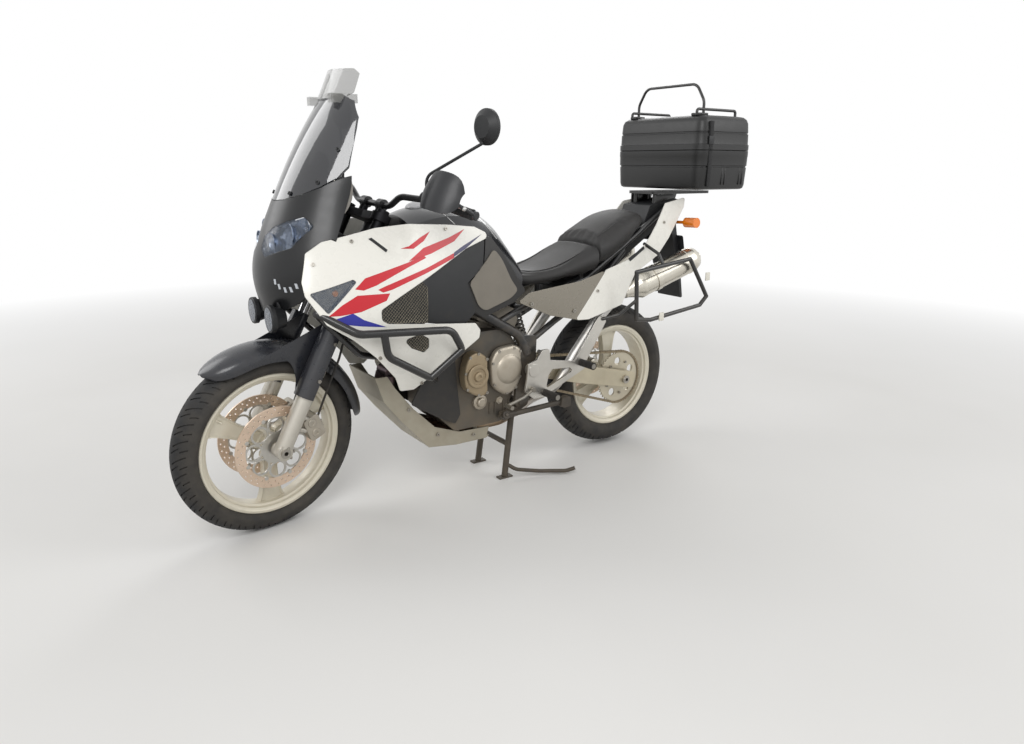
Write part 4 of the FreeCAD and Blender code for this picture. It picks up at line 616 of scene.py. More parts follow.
spring = coil("shock_spring", SHOCK_LOW + shock_line * 0.068, SHOCK_HIGH - shock_line * 0.052,
              0.027, 0.005, 8)
fit(spring, spring_paint, "chassis", 60)


# Wheels
# Cast light-alloy wheels with three broad spokes, painted a creamy silver, 19 inch in front and
# 17 inch behind, each turning on a hollow spindle.
STEER_FOOT = Vector((1.023, 0, 0))
RAKE = math.radians(27.5)
STEER_UP = Vector((-math.sin(RAKE), 0, math.cos(RAKE)))
STEERED = (Matrix.Translation(STEER_FOOT) @ Matrix.Rotation(math.radians(10.67), 4, STEER_UP)
           @ Matrix.Translation(-STEER_FOOT))


def steered(thing):
    """Turns a piece with the bars, from straight ahead to where they stand in the photograph."""
    thing.data.transform(STEERED)
    return thing


def fit_steered(thing, material, angle=35):
    """Fixes a piece and its mirror image to what turns with the bars."""
    return fit(steered(both_sides(thing)), material, "steering", angle)


FRONT_AXLE = Vector((0.913, 0, 0.329))
REAR_AXLE = Vector((-0.647, 0, 0.335))
SPOKE_T = 0.032
POCKET = 0.009
SPOKES = 3
VALVE_TURN = 0.6


def cast_wheel(name, axle, radius, width, hub_width, first_spoke):
    """The rim, three pocketed spokes and the hub; the first spoke stands at an angle in degrees."""
    half = width / 2
    well = radius - 0.026
    inside = [(half - 0.016, well + 0.008), (half - 0.008, radius - 0.002), (half - 0.004, radius + 0.003),
              (half, radius), (half, radius - 0.008), (half - 0.003, radius - 0.012),
              (half - 0.005, radius - 0.018), (half - 0.014, radius - 0.021), (half - 0.017, well - 0.002),
              (half - 0.028, well - 0.004)]
    ring = turn(name, inside + [(-side, r) for side, r in reversed(inside)] + inside[:1], axle, SIDE, 128)
    blank = [(0.034, -0.030), (0.090, -0.023), (well * 0.62, -0.027), (well * 0.88, -0.037), (well, -0.050),
             (well, 0.050), (well * 0.88, 0.037), (well * 0.62, 0.027), (0.090, 0.023), (0.034, 0.030)]
    spoke = cut_plate("spoke", smoothed(side_view(blank, -SPOKE_T / 2), 0.020, 3), SIDE * SPOKE_T)
    select_faces(spoke, lambda face: abs(face.normal.y) > 0.9)
    bpy.ops.mesh.inset(thickness=0.007, use_individual=True)
    bpy.ops.transform.shrink_fatten(value=-POCKET)
    bpy.ops.object.mode_set(mode="OBJECT")
    rounded_off(spoke, 0.0025, 2, 30)
    spokes = [copied(spoke, Matrix.Translation(axle)
                     @ Matrix.Rotation(math.radians(number * 360 / SPOKES - first_spoke), 4, "Y"))
              for number in range(SPOKES)]
    bpy.data.objects.remove(spoke)
    side = hub_width / 2
    hub = turn("hub", [(-side, 0.0115), (-side, 0.030), (-side + 0.004, 0.030), (-side + 0.004, 0.040),
                       (-side + 0.001, 0.046), (-side + 0.014, 0.046), (-0.020, 0.038),
                       (0.020, 0.038), (side - 0.014, 0.046), (side - 0.001, 0.046), (side - 0.004, 0.040),
                       (side - 0.004, 0.030), (side, 0.030), (side, 0.0115), (-side, 0.0115)], axle, SIDE, 48)
    valve_foot = on_circle(axle, well - 0.004, VALVE_TURN)
    valve = turn("valve", mm((0, 0), (0, 6), (4, 4), (22, 3.5), (22, 4.2), (32, 4.2), (32, 0)), valve_foot,
                 axle + SIDE * 0.4 - on_circle(axle, 1, VALVE_TURN), 14)
    return join(name, [ring, hub, valve] + spokes)


wheel_paint = painted("creamy silver wheel paint", tint(222, 216, 198), 0.36, dust=0.22,
                      metallic=0.25, coat=0.3)
front_rim = steered(cast_wheel("front_cast_wheel", FRONT_AXLE, 0.254, 0.082, 0.118, -90))
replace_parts(fit(front_rim, wheel_paint, "front_wheel"), "front_rim")
rear_rim = cast_wheel("rear_cast_wheel", REAR_AXLE, 0.229, 0.112, 0.150, 90)
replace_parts(fit(rear_rim, wheel_paint, "rear_wheel"), "rear_rim")

# Tyres
# Road tyres for an adventure machine: slanted grooves from each shoulder towards the middle of the
# tread, fine ribs on the side walls, and brown dust where the rubber doesn't touch the road.
def arc_through(start, middle, end, count):
    """Points along the circle through three points of a plane."""
    (ax, ay), (bx, by), (cx, cy) = start, middle, end
    twice = 2 * (ax * (by - cy) + bx * (cy - ay) + cx * (ay - by))
    ux = ((ax * ax + ay * ay) * (by - cy) + (bx * bx + by * by) * (cy - ay)
          + (cx * cx + cy * cy) * (ay - by)) / twice
    uy = ((ax * ax + ay * ay) * (cx - bx) + (bx * bx + by * by) * (ax - cx)
          + (cx * cx + cy * cy) * (bx - ax)) / twice
    first, half, last = (math.atan2(y - uy, x - ux) for x, y in (start, middle, end))
    while half - first > math.pi:
        half -= math.tau
    while half - first < -math.pi:
        half += math.tau
    while last - half > math.pi:
        last -= math.tau
    while last - half < -math.pi:
        last += math.tau
    radius = math.hypot(ax - ux, ay - uy)
    turns = [first + (last - first) * step / count for step in range(count + 1)]
    return [(ux + radius * math.cos(angle), uy + radius * math.sin(angle)) for angle in turns]


COLUMNS = 12
TREAD_LEAN = 0.85
GROOVE_DEPTH = 0.0042


def wrapped(name, rings, chosen=None, depth=0.0):
    """A grid laid on rings of points; the chosen cells are then pressed in."""
    along, across = len(rings) - 1, len(rings[0]) - 1
    deselect()
    bpy.ops.mesh.primitive_grid_add(x_subdivisions=along, y_subdivisions=across, size=1)
    thing = bpy.context.object
    thing.name = name
    picked = {face.index for face in thing.data.polygons if chosen
              and chosen(int((face.center.x + 0.5) * along), int((face.center.y + 0.5) * across))}
    for vertex in thing.data.vertices:
        vertex.co = rings[round((vertex.co.x + 0.5) * along)][round((vertex.co.y + 0.5) * across)]
    select_faces(thing, lambda face: face.index in picked)
    if picked:
        bpy.ops.mesh.extrude_region_shrink_fatten(TRANSFORM_OT_shrink_fatten={"value": -depth})
    return close_up(thing)


WALL_ROWS = 9
CROWN_ROWS = 26


def grooved(column, row):
    """Whether a cell lies in one of the tread's grooves."""
    row -= WALL_ROWS
    phase = column % COLUMNS
    if row >= CROWN_ROWS / 2:
        row = CROWN_ROWS - 1 - row
        phase = (phase + COLUMNS // 2) % COLUMNS
    return phase == 0 and 1 <= row <= 10 or phase == 5 and 0 <= row <= 4 or phase == 8 and 6 <= row <= 11


def road_tyre(name, axle, radius, width, rim_radius, rim_width, pitches):
    bead = rim_width / 2 - 0.008
    edge = width / 2 - 0.006
    shoulder = radius - 0.034
    waist = (shoulder + rim_radius) / 2 + 0.010
    wall = arc_through((bead, rim_radius + 0.001), (width / 2, waist), (edge, shoulder), WALL_ROWS)[:-1]
    wall = [(side - (0.0012 if number in (2, 4, 7) else 0), r) for number, (side, r) in enumerate(wall)]
    section = wall + arc_through((edge, shoulder), (0, radius), (-edge, shoulder), CROWN_ROWS)
    section += [(-side, r) for side, r in reversed(wall)]
    section += [(0.008 - bead, rim_radius - 0.016), (bead - 0.008, rim_radius - 0.016), section[0]]
    rings = []
    for column in range(pitches * COLUMNS + 1):
        turned_by = math.tau * column / (pitches * COLUMNS)
        leaning = [(side, r, turned_by + TREAD_LEAN * min(abs(side), edge) / radius) for side, r in section]
        rings.append([on_circle(axle, r, angle, side) for side, r, angle in leaning])
    return wrapped(name, rings, grooved, GROOVE_DEPTH)


def rubber(name, axle, tread_r):
    """Tyre rubber, with dust on the walls and in the grooves."""
    made = Finish(name)
    from_axle = made.node("VectorMath", {"operation": "SUBTRACT"}, {0: made.place, 1: axle})
    far = made.node("VectorMath", {"operation": "LENGTH"}, {0: from_axle}, output="Value")
    below_tread = 1 - made.spread(far, tread_r - 0.030, tread_r - 0.006)
    dust = made.spread(made.noise(23, 5) + below_tread * 0.28, 0.42, 1.0) * 0.26
    return made.shade(made.mix(dust, tint(27, 27, 28), tint(112, 104, 92)), 0.72 + dust * 0.2,
                      made.noise(420, 3), 0.00008)


front_tyre = steered(road_tyre("front_road_tyre", FRONT_AXLE, 0.329, 0.110, 0.254, 0.082, 34))
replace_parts(fit(front_tyre, rubber("front tyre rubber", FRONT_AXLE, 0.329), "front_wheel"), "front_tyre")
rear_tyre = road_tyre("rear_road_tyre", REAR_AXLE, 0.321, 0.150, 0.229, 0.112, 32)
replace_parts(fit(rear_tyre, rubber("rear tyre rubber", REAR_AXLE, 0.321), "rear_wheel"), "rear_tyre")

# Brake discs
# Drilled steel rings, browned by use, hang on silver looped carriers that are screwed to the hubs.
# There are two in front and one on the right behind.
DISC_T = 0.005


def around(axle, radius, count, y, first=0.0):
    """Evenly spaced places round a wheel."""
    return [on_circle(axle, radius, first + math.tau * number / count, y) for number in range(count)]


def drilled(thing, places, radius, sides=12):
    """Bores holes across the machine at the given places."""
    drills = []
    for place in places:
        deselect()
        bpy.ops.mesh.primitive_cylinder_add(vertices=sides, radius=radius, depth=0.05, location=place,
                                            rotation=(math.pi / 2, 0, 0))
        bpy.ops.object.transform_apply()
        drills.append(bpy.context.object)
    drill = join("drill", drills)
    cut = thing.modifiers.new("cut", "BOOLEAN")
    cut.object = drill
    applied(thing, cut)
    bpy.data.objects.remove(drill)
    return thing


def washer(name, centre, inner, outer, thickness, steps=32):
    """A flat ring that stands across the wheel's axle."""
    half = thickness / 2
    return turn(name, [(-half, inner), (-half, outer), (half, outer), (half, inner), (-half, inner)],
                centre, SIDE, steps)


def brake_disc(name, axle, side, radius, band, flange):
    centre = axle + SIDE * side
    inner = radius - band
    holes = around(axle, radius - band * 0.27, 32, side) + around(axle, radius - band * 0.62, 32, side, 0.098)
    ring = drilled(washer(name, centre, inner, radius, DISC_T, 96), holes, 0.0032, 10)
    loop = (inner - flange) / 2 + 0.002
    loops = [washer("loop", place, loop - 0.007, loop, DISC_T - 0.001, 24)
             for place in around(axle, (inner + flange) / 2, 8, side)]
    bobbins = [washer("bobbin", place, 0.0, 0.007, DISC_T + 0.003, 16)
               for place in around(axle, inner + 0.002, 8, side, 0.39)]
    arms = [washer("flange", centre, 0.022, flange + 0.004, DISC_T, 48)]
    return ring, join(name + "_carrier", loops + bobbins + arms)


disc_steel = cast_metal("worn disc steel", tint(230, 206, 184), 0.34, 0.6, 0.12, 0.00001, 0.0006)
carrier_alloy = cast_metal("disc carrier alloy", tint(206, 204, 198), 0.3, 0.8, 0.2, 0.00002, 0.001)
front_ring, front_carrier = brake_disc("front_disc", FRONT_AXLE, 0.066, 0.148, 0.036, 0.052)
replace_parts(fit(steered(both_sides(front_ring)), disc_steel, "front_wheel"), "front_discs")
fit(steered(both_sides(front_carrier)), carrier_alloy, "front_wheel")
rear_ring, rear_carrier = brake_disc("rear_brake_disc", REAR_AXLE, -0.092, 0.128, 0.034, 0.046)
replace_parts(fit(rear_ring, disc_steel, "rear_wheel"), "rear_disc")
fit(rear_carrier, carrier_alloy, "rear_wheel")

# Chain and rear sprocket
# A roller chain of side plates, pins and rollers runs round a toothed steel sprocket with five holes.
# Both are wet with lubricant and gather dirt.
CHAIN_Y = 0.090
CHAIN_FRONT = (Vector((-0.005, CHAIN_Y, 0.470)), 0.040)
CHAIN_REAR = (REAR_AXLE + SIDE * CHAIN_Y, 0.118)
LINKS = 114
TEETH = 46
SPROCKET_T = 0.0064
NUT_CIRCLE = 0.075
HALF_PITCH = 0.00797
LINK_T = 0.0016


def along_chain(share):
    """The place and heading at a share of the chain's loop, from the rear upper tangent point."""
    (front, small), (rear, large) = CHAIN_FRONT, CHAIN_REAR
    line = front - rear
    base = math.atan2(line.z, line.x)
    open_angle = math.acos((large - small) / line.length)
    run = math.sqrt(line.length ** 2 - (large - small) ** 2)
    small_arc = small * 2 * open_angle
    large_arc = large * (math.tau - 2 * open_angle)
    left = share * (2 * run + small_arc + large_arc)

    def on_wheel(centre, radius, angle, onward=0.0):
        heading = angle - math.pi / 2
        return on_circle(on_circle(centre, radius, angle), onward, heading), heading

    top = base + open_angle
    if left < run:
        return on_wheel(rear, large, top, left)
    left -= run
    if left < small_arc:
        return on_wheel(front, small, top - left / small)
    left -= small_arc
    if left < run:
        return on_wheel(front, small, base - open_angle, left)
    return on_wheel(rear, large, base - open_angle - (left - run) / large)


plate_outline = smoothed(side_view(mm((-14.8, -6), (-14.8, 6), (-4, 4.2), (4, 4.2), (14.8, 6), (14.8, -6),
                                      (4, -4.2), (-4, -4.2)), 0), 0.006, 2)
link = []
# each kind of link: where its plates stand, and its rollers' or pins' radius and length
for inner, pin_r, pin_length in ((0.0040, 0.0045, 0.008), (0.0058, 0.0022, 0.0158)):
    plates = [cut_plate("plate", [point + SIDE * y for point in plate_outline], SIDE * LINK_T)
              for y in (inner, -inner - LINK_T)]
    pins = [washer("pin", (x, 0, 0), 0.0, pin_r, pin_length, 8) for x in (-HALF_PITCH, HALF_PITCH)]
    link.append(join("link", plates + pins))
links = []
for number in range(LINKS):
    place, heading = along_chain(number / LINKS)
    links.append(copied(link[number % 2], Matrix.Translation(place) @ Matrix.Rotation(-heading, 4, "Y")))
for pattern in link:
    bpy.data.objects.remove(pattern)
chain_steel = cast_metal("oiled chain steel", tint(150, 138, 116), 0.4, 0.85, 0.6, 0.00003, 0.0)
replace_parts(fit(join("chain_links", links), chain_steel, "chassis"), "chain")

tooth_line = []
for tooth in range(TEETH):
    for step, radius in ((0.0, 0.1125), (0.28, 0.1135), (0.42, 0.1195), (0.58, 0.1195), (0.72, 0.1135)):
        turned_by = math.tau * (tooth + step) / TEETH
        tooth_line.append(on_circle(REAR_AXLE, radius, turned_by, CHAIN_Y - SPROCKET_T / 2))
sprocket = cut_plate("toothed_sprocket", tooth_line, SIDE * SPROCKET_T)
sprocket = drilled(sprocket, around(REAR_AXLE, NUT_CIRCLE, 5, CHAIN_Y, 0.2), 0.017, 28)
sprocket_hub = turn("sprocket_hub", mm((0, 30), (0, 58), (20, 58), (24, 52), (24, 30), (0, 30)),
                    REAR_AXLE + SIDE * 0.068, SIDE, 48)
sprocket_steel = cast_metal("sprocket steel", tint(208, 200, 180), 0.35, 0.7, 0.15, 0.00002, 0.0008)
sprocket = fit(join("rear_toothed_sprocket", [sprocket, sprocket_hub]), sprocket_steel, "rear_wheel")
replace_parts(sprocket, "rear_sprocket")
nut_places = [(place, SIDE) for place in around(REAR_AXLE, NUT_CIRCLE, 5, CHAIN_Y + 0.003, 0.83)]
fit(set_out("sprocket_nuts", cap_screw(0.006), nut_places), screw_steel, "rear_wheel")

# Brakes
# Each front disc has a twin-piston calliper behind the fork leg, the rear disc one above the arm,
# and rubber hoses lead down to them.
calliper_metal = cast_metal("calliper metal", tint(186, 180, 168), 0.42, 0.7, 0.45, 0.0001, 0.004)
dress(calliper_metal, "front_calipers", "rear_caliper")
hose_rubber = painted("hose rubber", tint(24, 24, 25), 0.6, dust=0.3)
dress(hose_rubber, "brake_hoses")
CALLIPER_R = 0.138
CALLIPER_FACE = 0.0965
calliper_bits = []
for degrees in (149.5, 167.0):
    place = on_circle(FRONT_AXLE, CALLIPER_R, math.radians(degrees), CALLIPER_FACE)
    profile = mm((-4, 0), (-4, 16.5), (4, 16.5), (6, 14.5), (6, 6), (3, 5), (3, 0))
    calliper_bits.append(turn("piston_cap", profile, place, SIDE, 24))
CALLIPER_TURN = math.radians(158)
out = on_circle(Vector((0, 0, 0)), 1, CALLIPER_TURN)
along = out.cross(SIDE)
for rise in (-0.012, -0.004, 0.004, 0.012):
    foot = FRONT_AXLE + out * (CALLIPER_R + 0.028) + SIDE * (CALLIPER_FACE - 0.002)
    fin = [foot + along * a + out * b for b, a in rectangle(0.0, rise, 0.006, 0.0015)]
    calliper_bits.append(cut_plate("fin", fin, SIDE * 0.006))
fit_steered(join("calliper_caps", calliper_bits), calliper_metal)

# Fork
# Telescopic: silver legs below, chromed tubes above in two black clamps, with a rubber seal on each leg.
STEER_AHEAD = Vector((math.cos(RAKE), 0, math.sin(RAKE)))
AXLE_ALONG = 0.3426
LEG_AHEAD = 0.0543
LEG_SIDE = 0.105


def fork(ahead, side, up):
    """A point from its distance ahead of the steering axis, to the side and along the axis."""
    return STEER_FOOT + STEER_AHEAD * ahead + SIDE * side + STEER_UP * up


leg_silver = painted("silver leg paint", tint(196, 192, 182), 0.34, dust=0.3, metallic=0.55, coat=0.4,
                     rounding=0.003)
dress(leg_silver, "fork_lowers")
chrome = Finish("chrome and black clamps")
up_stem = chrome.node("VectorMath", {"operation": "DOT_PRODUCT"}, {0: chrome.place, 1: STEER_UP},
                      output="Value")
CLAMP_LOW = STEER_FOOT.dot(STEER_UP) + 0.9545
clamp = up_stem > CLAMP_LOW
chrome_rough = 0.07 + clamp * 0.4 + chrome.noise(30, 3) * 0.05
chrome_finish = chrome.shade(chrome.mix(clamp, tint(226, 226, 228), tint(30, 30, 32)), chrome_rough,
                             rounding=0.002, fixed={"Metallic": 0.9})
dress(chrome_finish, "fork_tubes")
plain_black = painted("black plastic", tint(20, 21, 23), 0.52, dust=0.12)
seal = turn("fork_seals", mm((0, 21.5), (0, 31), (10, 31), (13, 27), (16, 22.5), (16, 21.5), (0, 21.5)),
            fork(LEG_AHEAD, LEG_SIDE, 0.650), STEER_UP, 32)
fit_steered(seal, plain_black)
pinch = set_out("fork_pinch_screws", cap_screw(0.0055),
                [(fork(LEG_AHEAD - 0.0305, LEG_SIDE + side, AXLE_ALONG + rise), -STEER_AHEAD)
                 for side in (-0.014, 0.014) for rise in (-0.012, 0.012)]
                + [(fork(LEG_AHEAD, LEG_SIDE + 0.024, AXLE_ALONG + 0.019), SIDE)])
fit_steered(pinch, screw_steel)

# Front mudguard
# One dark moulding over the wheel, with a guard that wraps each leg and is screwed on from outside.
mudguard_plastic = painted("dark grey mudguard", tint(38, 40, 46), 0.28, dust=0.10, coat=0.25, rounding=0.003)
ARCH_FROM, ARCH_TO = 53, 176
ARCH_STEPS = 41
ARCH_R = 0.360
ARCH_HALF_SECTION = mm((71, 306), (72.2, 320), (70, 333), (62, 344), (47, 352.5), (25, 358.5))
ARCH_SECTION = ARCH_HALF_SECTION + [(0.0, ARCH_R)] + [(-side, r) for side, r in reversed(ARCH_HALF_SECTION)]


def on_arch(degrees, side, r):
    return on_circle(FRONT_AXLE, r, math.radians(degrees), side)


def thickened(sheet, thickness):
    solid = sheet.modifiers.new("solid", "SOLIDIFY")
    solid.thickness = thickness
    solid.offset = 0
    return applied(sheet, solid)


arch_rings = []
for number in range(ARCH_STEPS + 1):
    degrees = ARCH_FROM + (ARCH_TO - ARCH_FROM) * number / ARCH_STEPS
    tip = min((degrees - ARCH_FROM) / 20, 1.0)
    tail = min((ARCH_TO - degrees) / 16, 1.0)
    full = (0.16 + 0.84 * math.sqrt(1 - (1 - tip) ** 2)) * (0.45 + 0.55 * math.sqrt(1 - (1 - tail) ** 2))
    arch_rings.append([on_arch(degrees, side * full, ARCH_R - (ARCH_R - r) * full)
                       for side, r in ARCH_SECTION])
arch = thickened(wrapped("front_mudguard_arch", arch_rings), 0.003)
LEG_GUARD_R = 0.0385
LEG_GUARD_LOW, LEG_GUARD_HIGH = 0.540, 0.800


def on_leg_guard(up, degrees):
    angle = math.radians(degrees)
    return (fork(LEG_AHEAD, LEG_SIDE, up) + STEER_AHEAD * LEG_GUARD_R * math.cos(angle)
            + SIDE * LEG_GUARD_R * math.sin(angle))


leg_rings, web_rings = [], []
for number in range(9):
    share = number / 8
    up = LEG_GUARD_HIGH + (LEG_GUARD_LOW - LEG_GUARD_HIGH) * share
    leg_rings.append([on_leg_guard(up, degrees) for degrees in range(-90, 106, 15)])
    arch_side = on_arch(80 + 26 * share, 0.0715, 0.326 - 0.018 * share)
    leg_side = on_leg_guard(up - 0.004 * share, -60)
    rise = Vector((0.010, 0.004, 0.006)) * math.sin(math.pi * share)
    web_rings.append([arch_side.lerp(leg_side, part / 5) + rise * math.sin(math.pi * part / 5)
                      for part in range(6)])
leg_guard = thickened(wrapped("leg_guard", leg_rings), 0.003)
web = thickened(wrapped("leg_web", web_rings), 0.003)
mudguard = join("front_mudguard_and_guards", [arch, both_sides(join("leg_guards", [leg_guard, web]))])
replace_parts(fit(steered(mudguard), mudguard_plastic, "steering", 50), "front_mudguard")

guard_screws = [(fork(LEG_AHEAD, LEG_SIDE + LEG_GUARD_R + 0.001, up), SIDE) for up in (0.610, 0.745)]
fit_steered(set_out("mudguard_screws", cap_screw(0.006), guard_screws), screw_steel)

# Handlebar and controls
# A black steel bar in two clamps. Each end has a ribbed rubber grip, a switch block, a lever on its
# perch and a fluid pot, and a weight closes the bar's end.
dress(black_tube, "handlebar")
BAR_END = fork(-0.022, 0.452, 1.298)
BAR_IN = (fork(0.020, 0.290, 1.305) - BAR_END).normalized()


def along_bar(distance):
    return BAR_END + BAR_IN * distance


ribs = []
for number in range(24):
    at = 0.006 + number * 0.0045
    ribs += [(at, 0.0172), (at + 0.0028, 0.0172), (at + 0.0028, 0.0158), (at + 0.0045, 0.0158)]
grip_line = mm((0, 11.2), (0, 18), (5, 18)) + ribs + mm((114, 20.5), (118, 20.5), (118, 11.2))
grip = turn("ribbed_grips", grip_line, along_bar(0.002), BAR_IN, 28)
weight = turn("bar_weight", mm((-4, 0), (-4, 13), (-1, 15.5), (2, 15.5), (2, 0)), along_bar(0), BAR_IN, 24)
grip_rubber = painted("grip rubber", tint(30, 30, 31), 0.75, dust=0.15)
grips = fit_steered(join("ribbed_grips", [grip, weight]), grip_rubber)

BAR_UP = BAR_IN.cross(STEER_AHEAD).normalized()
BAR_UP = BAR_UP if BAR_UP.z > 0 else -BAR_UP
BAR_AHEAD = BAR_UP.cross(BAR_IN).normalized()
BAR_AHEAD = BAR_AHEAD if BAR_AHEAD.x > 0 else -BAR_AHEAD


def on_plane(centre, right, up, outline):
    return [centre + right * a + up * b for a, b in outline]


block_edge = on_plane(along_bar(0.121), BAR_AHEAD, BAR_UP, mm((-24, -22), (20, -22), (22, 18), (-20, 22)))
block = cut_plate("switch_block", smoothed(block_edge, 0.010), BAR_IN * 0.042, 0.003)
perch = turn("perch", mm((0, 11.2), (0, 16.5), (22, 16.5), (22, 11.2), (0, 11.2)),
             along_bar(0.168), BAR_IN, 24)
perch_at = along_bar(0.176)
horn_edge = on_plane(perch_at - BAR_UP * 0.007, BAR_AHEAD, BAR_IN,
                     mm((10, -12), (36, -14), (40, 4), (10, 14)))
horn = cut_plate("horn", smoothed(horn_edge, 0.005), BAR_UP * 0.014, 0.002)
pot = turn("pot", mm((0, 0), (0, 13), (6, 15.5), (36, 15.8), (36, 17.2), (44, 17.2), (47, 15), (47, 0)),
           perch_at + STEER_AHEAD * 0.022, STEER_UP, 28)
fit_steered(join("switches_and_pots", [block, perch, horn, pot]), plain_black)
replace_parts(grips, "hand_controls")

lever_in = perch_at + BAR_AHEAD * 0.034
lever_out = along_bar(0.008) + BAR_AHEAD * 0.046
lever_line = lever_out - lever_in
shape = [(0.0, -0.007), (0.25, -0.001), (0.8, -0.001), (0.97, -0.004), (0.97, 0.005), (0.8, 0.010),
         (0.25, 0.012), (0.0, 0.006)]
lever = cut_plate("levers", smoothed([lever_in + lever_line * share + BAR_AHEAD * ahead - BAR_UP * 0.0035
                                      for share, ahead in shape], 0.004), BAR_UP * 0.007, 0.0018)
ball = turn("ball", mm((-7.5, 0), (-6.5, 3.8), (-3.8, 6.5), (0, 7.5), (3.8, 6.5), (6.5, 3.8), (7.5, 0)),
            lever_out + BAR_AHEAD * 0.001, BAR_UP, 16)
lever_alloy = cast_metal("lever alloy", tint(188, 188, 186), 0.28, 0.9, 0.1, 0.00001, 0.001)
fit_steered(join("levers", [lever, ball]), lever_alloy)
BUTTONS = [
    # colour, from the bar's end, ahead of the bar, above it, radius
    (tint(176, 34, 30), 0.132, -0.026, 0.008, 0.0055),
    (tint(206, 206, 202), 0.146, -0.026, -0.004, 0.0045),
    (tint(60, 62, 66), 0.156, -0.026, 0.010, 0.005),
]
for number, (colour, distance, ahead, up, radius) in enumerate(BUTTONS):
    key = turn(f"switch_key_{number}",
               [(-0.004, 0.0), (-0.004, radius), (0.003, radius), (0.004, radius * 0.8), (0.004, 0.0)],
               along_bar(distance) + BAR_AHEAD * ahead + BAR_UP * up, -BAR_AHEAD, 16)
    fit_steered(key, painted(f"key plastic {number}", colour, 0.45))

# Hand guards and mirrors
# A dark plastic shield stands before each grip. Round mirrors in black cups stand high on thin rods.
shield_plastic = painted("hand guard plastic", tint(26, 27, 30), 0.42, dust=0.06, coat=0.05, rounding=0.002)
GUARD_BEND = arc_through((0.072, 0.300), (0.066, 0.428), (-0.006, 0.462), 18)[:15]
GUARD_MIDDLE = 1.318
GUARD_HALF = 0.066
GUARD_BULGE = 0.006
guard_rings = []
for number, (ahead, side) in enumerate(GUARD_BEND):
    run = 2 * number / (len(GUARD_BEND) - 1) - 1
    half = GUARD_HALF * max(1 - abs(run) ** 3.5, 0.12) ** 0.5
    rows = [row / 5 - 1 for row in range(11)]
    guard_rings.append([fork(ahead + GUARD_BULGE * (1 - row * row), side, GUARD_MIDDLE + half * row)
                        for row in rows])
guard = thickened(wrapped("hand_guard_shield", guard_rings), 0.004)
guard_boss = turn("guard_boss", mm((-16, 0), (-16, 12), (-13, 15), (-5, 15), (-5, 0)),
                  along_bar(0), BAR_IN, 24)
guard_end = along_bar(-0.010)
guard_stay = pipe("guard_stay", [guard_end, guard_end + STEER_AHEAD * 0.030 + SIDE * 0.002,
                                 fork(0.048, 0.436, 1.302), fork(0.062, 0.426, 1.306)], 0.006, 12)
guards = fit_steered(join("hand_guards", [guard, guard_boss, guard_stay]), shield_plastic)
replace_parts(guards, "handguards")
dress(plain_black, "mirrors")
MIRROR = Vector((0.334, 0.420, 1.408))
bezel = turn("mirror_bezels", mm((-1, 51.5), (-2.2, 53), (-2.2, 56), (4, 56.2), (4, 51.5), (-1, 51.5)),
             MIRROR, AHEAD, 48)
fit_steered(bezel, plain_black)
glass = Finish("mirror glass")
mirror_glass = glass.shade(glass.mix(glass.noise(6, 2), tint(198, 204, 210), tint(214, 219, 224)),
                           0.03 + glass.noise(90, 2) * 0.03, fixed={"Metallic": 1.0})
pane = turn("mirror_panes", mm((-0.8, 0), (-0.8, 51.5), (1.2, 51.5), (1.2, 0)), MIRROR, AHEAD, 48)
fit_steered(pane, mirror_glass)

# Instruments
# A black pod behind the screen with two round dials, a display between them and a row of tell-tales.
dress(plain_black, "instrument_panel")
# lines to a node start out here: beside the machine, in front of it and over it
BESIDE, IN_FRONT, ABOVE = 0.6, 1.4, 1.3


def landed(node, start, way):
    """Where a line from start first meets one of the frame's nodes, and the surface's normal there."""
    hit, place, normal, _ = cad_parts[node].ray_cast(Vector(start), Vector(way))
    return (place, normal) if hit else (None, None)


POD = Vector((0.668, 0, 1.188))
POD_LEAN = math.radians(32)
POD_OUT = Vector((-math.cos(POD_LEAN), 0, math.sin(POD_LEAN)))
POD_UP = Vector((math.sin(POD_LEAN), 0, math.cos(POD_LEAN)))
pod_face, _ = landed("instrument_panel", POD + POD_OUT * 0.2, -POD_OUT)
pod_face = pod_face or POD + POD_OUT * 0.024
DIAL_R = 0.040


def on_dial(degrees):
    """The way from a dial's middle at an angle, and the way beside it."""
    angle = math.radians(degrees)
    ray = SIDE * -math.cos(angle) + POD_UP * math.sin(angle)
    return ray, ray.cross(POD_OUT)


rings, faces, marks, needles = [], [], [], []
for side in (-0.048, 0.048):
    middle = pod_face + SIDE * side
    rings.append(turn("dial_ring", [(0.0, DIAL_R), (0.0, DIAL_R + 0.004), (0.004, DIAL_R + 0.003),
                                    (0.004, DIAL_R), (0.0, DIAL_R)], middle, POD_OUT, 40))
    faces.append(turn("dial_face", [(0.0, 0.0), (0.0, DIAL_R), (0.001, DIAL_R), (0.001, 0.0)],
                      middle, POD_OUT, 40))
    for number in range(25):
        ray, beside = on_dial(225 - number * 11.25)
        long_mark = number % 3 == 0
        cross = beside * (0.0009 if long_mark else 0.0004)
        start = middle + POD_OUT * 0.0009 + ray * (DIAL_R - (0.008 if long_mark else 0.005))
        end = middle + POD_OUT * 0.0009 + ray * (DIAL_R - 0.002)
        marks.append(cut_plate("mark", [start - cross, start + cross, end + cross, end - cross],
                               POD_OUT * 0.0004))
    ray, beside = on_dial(222)
    tip, tail = middle + POD_OUT * 0.002 + ray * 0.032, middle + POD_OUT * 0.002 - ray * 0.008
    needles.append(cut_plate("needle", [tail - beside * 0.0012, tail + beside * 0.0012, tip],
                             POD_OUT * 0.0008))
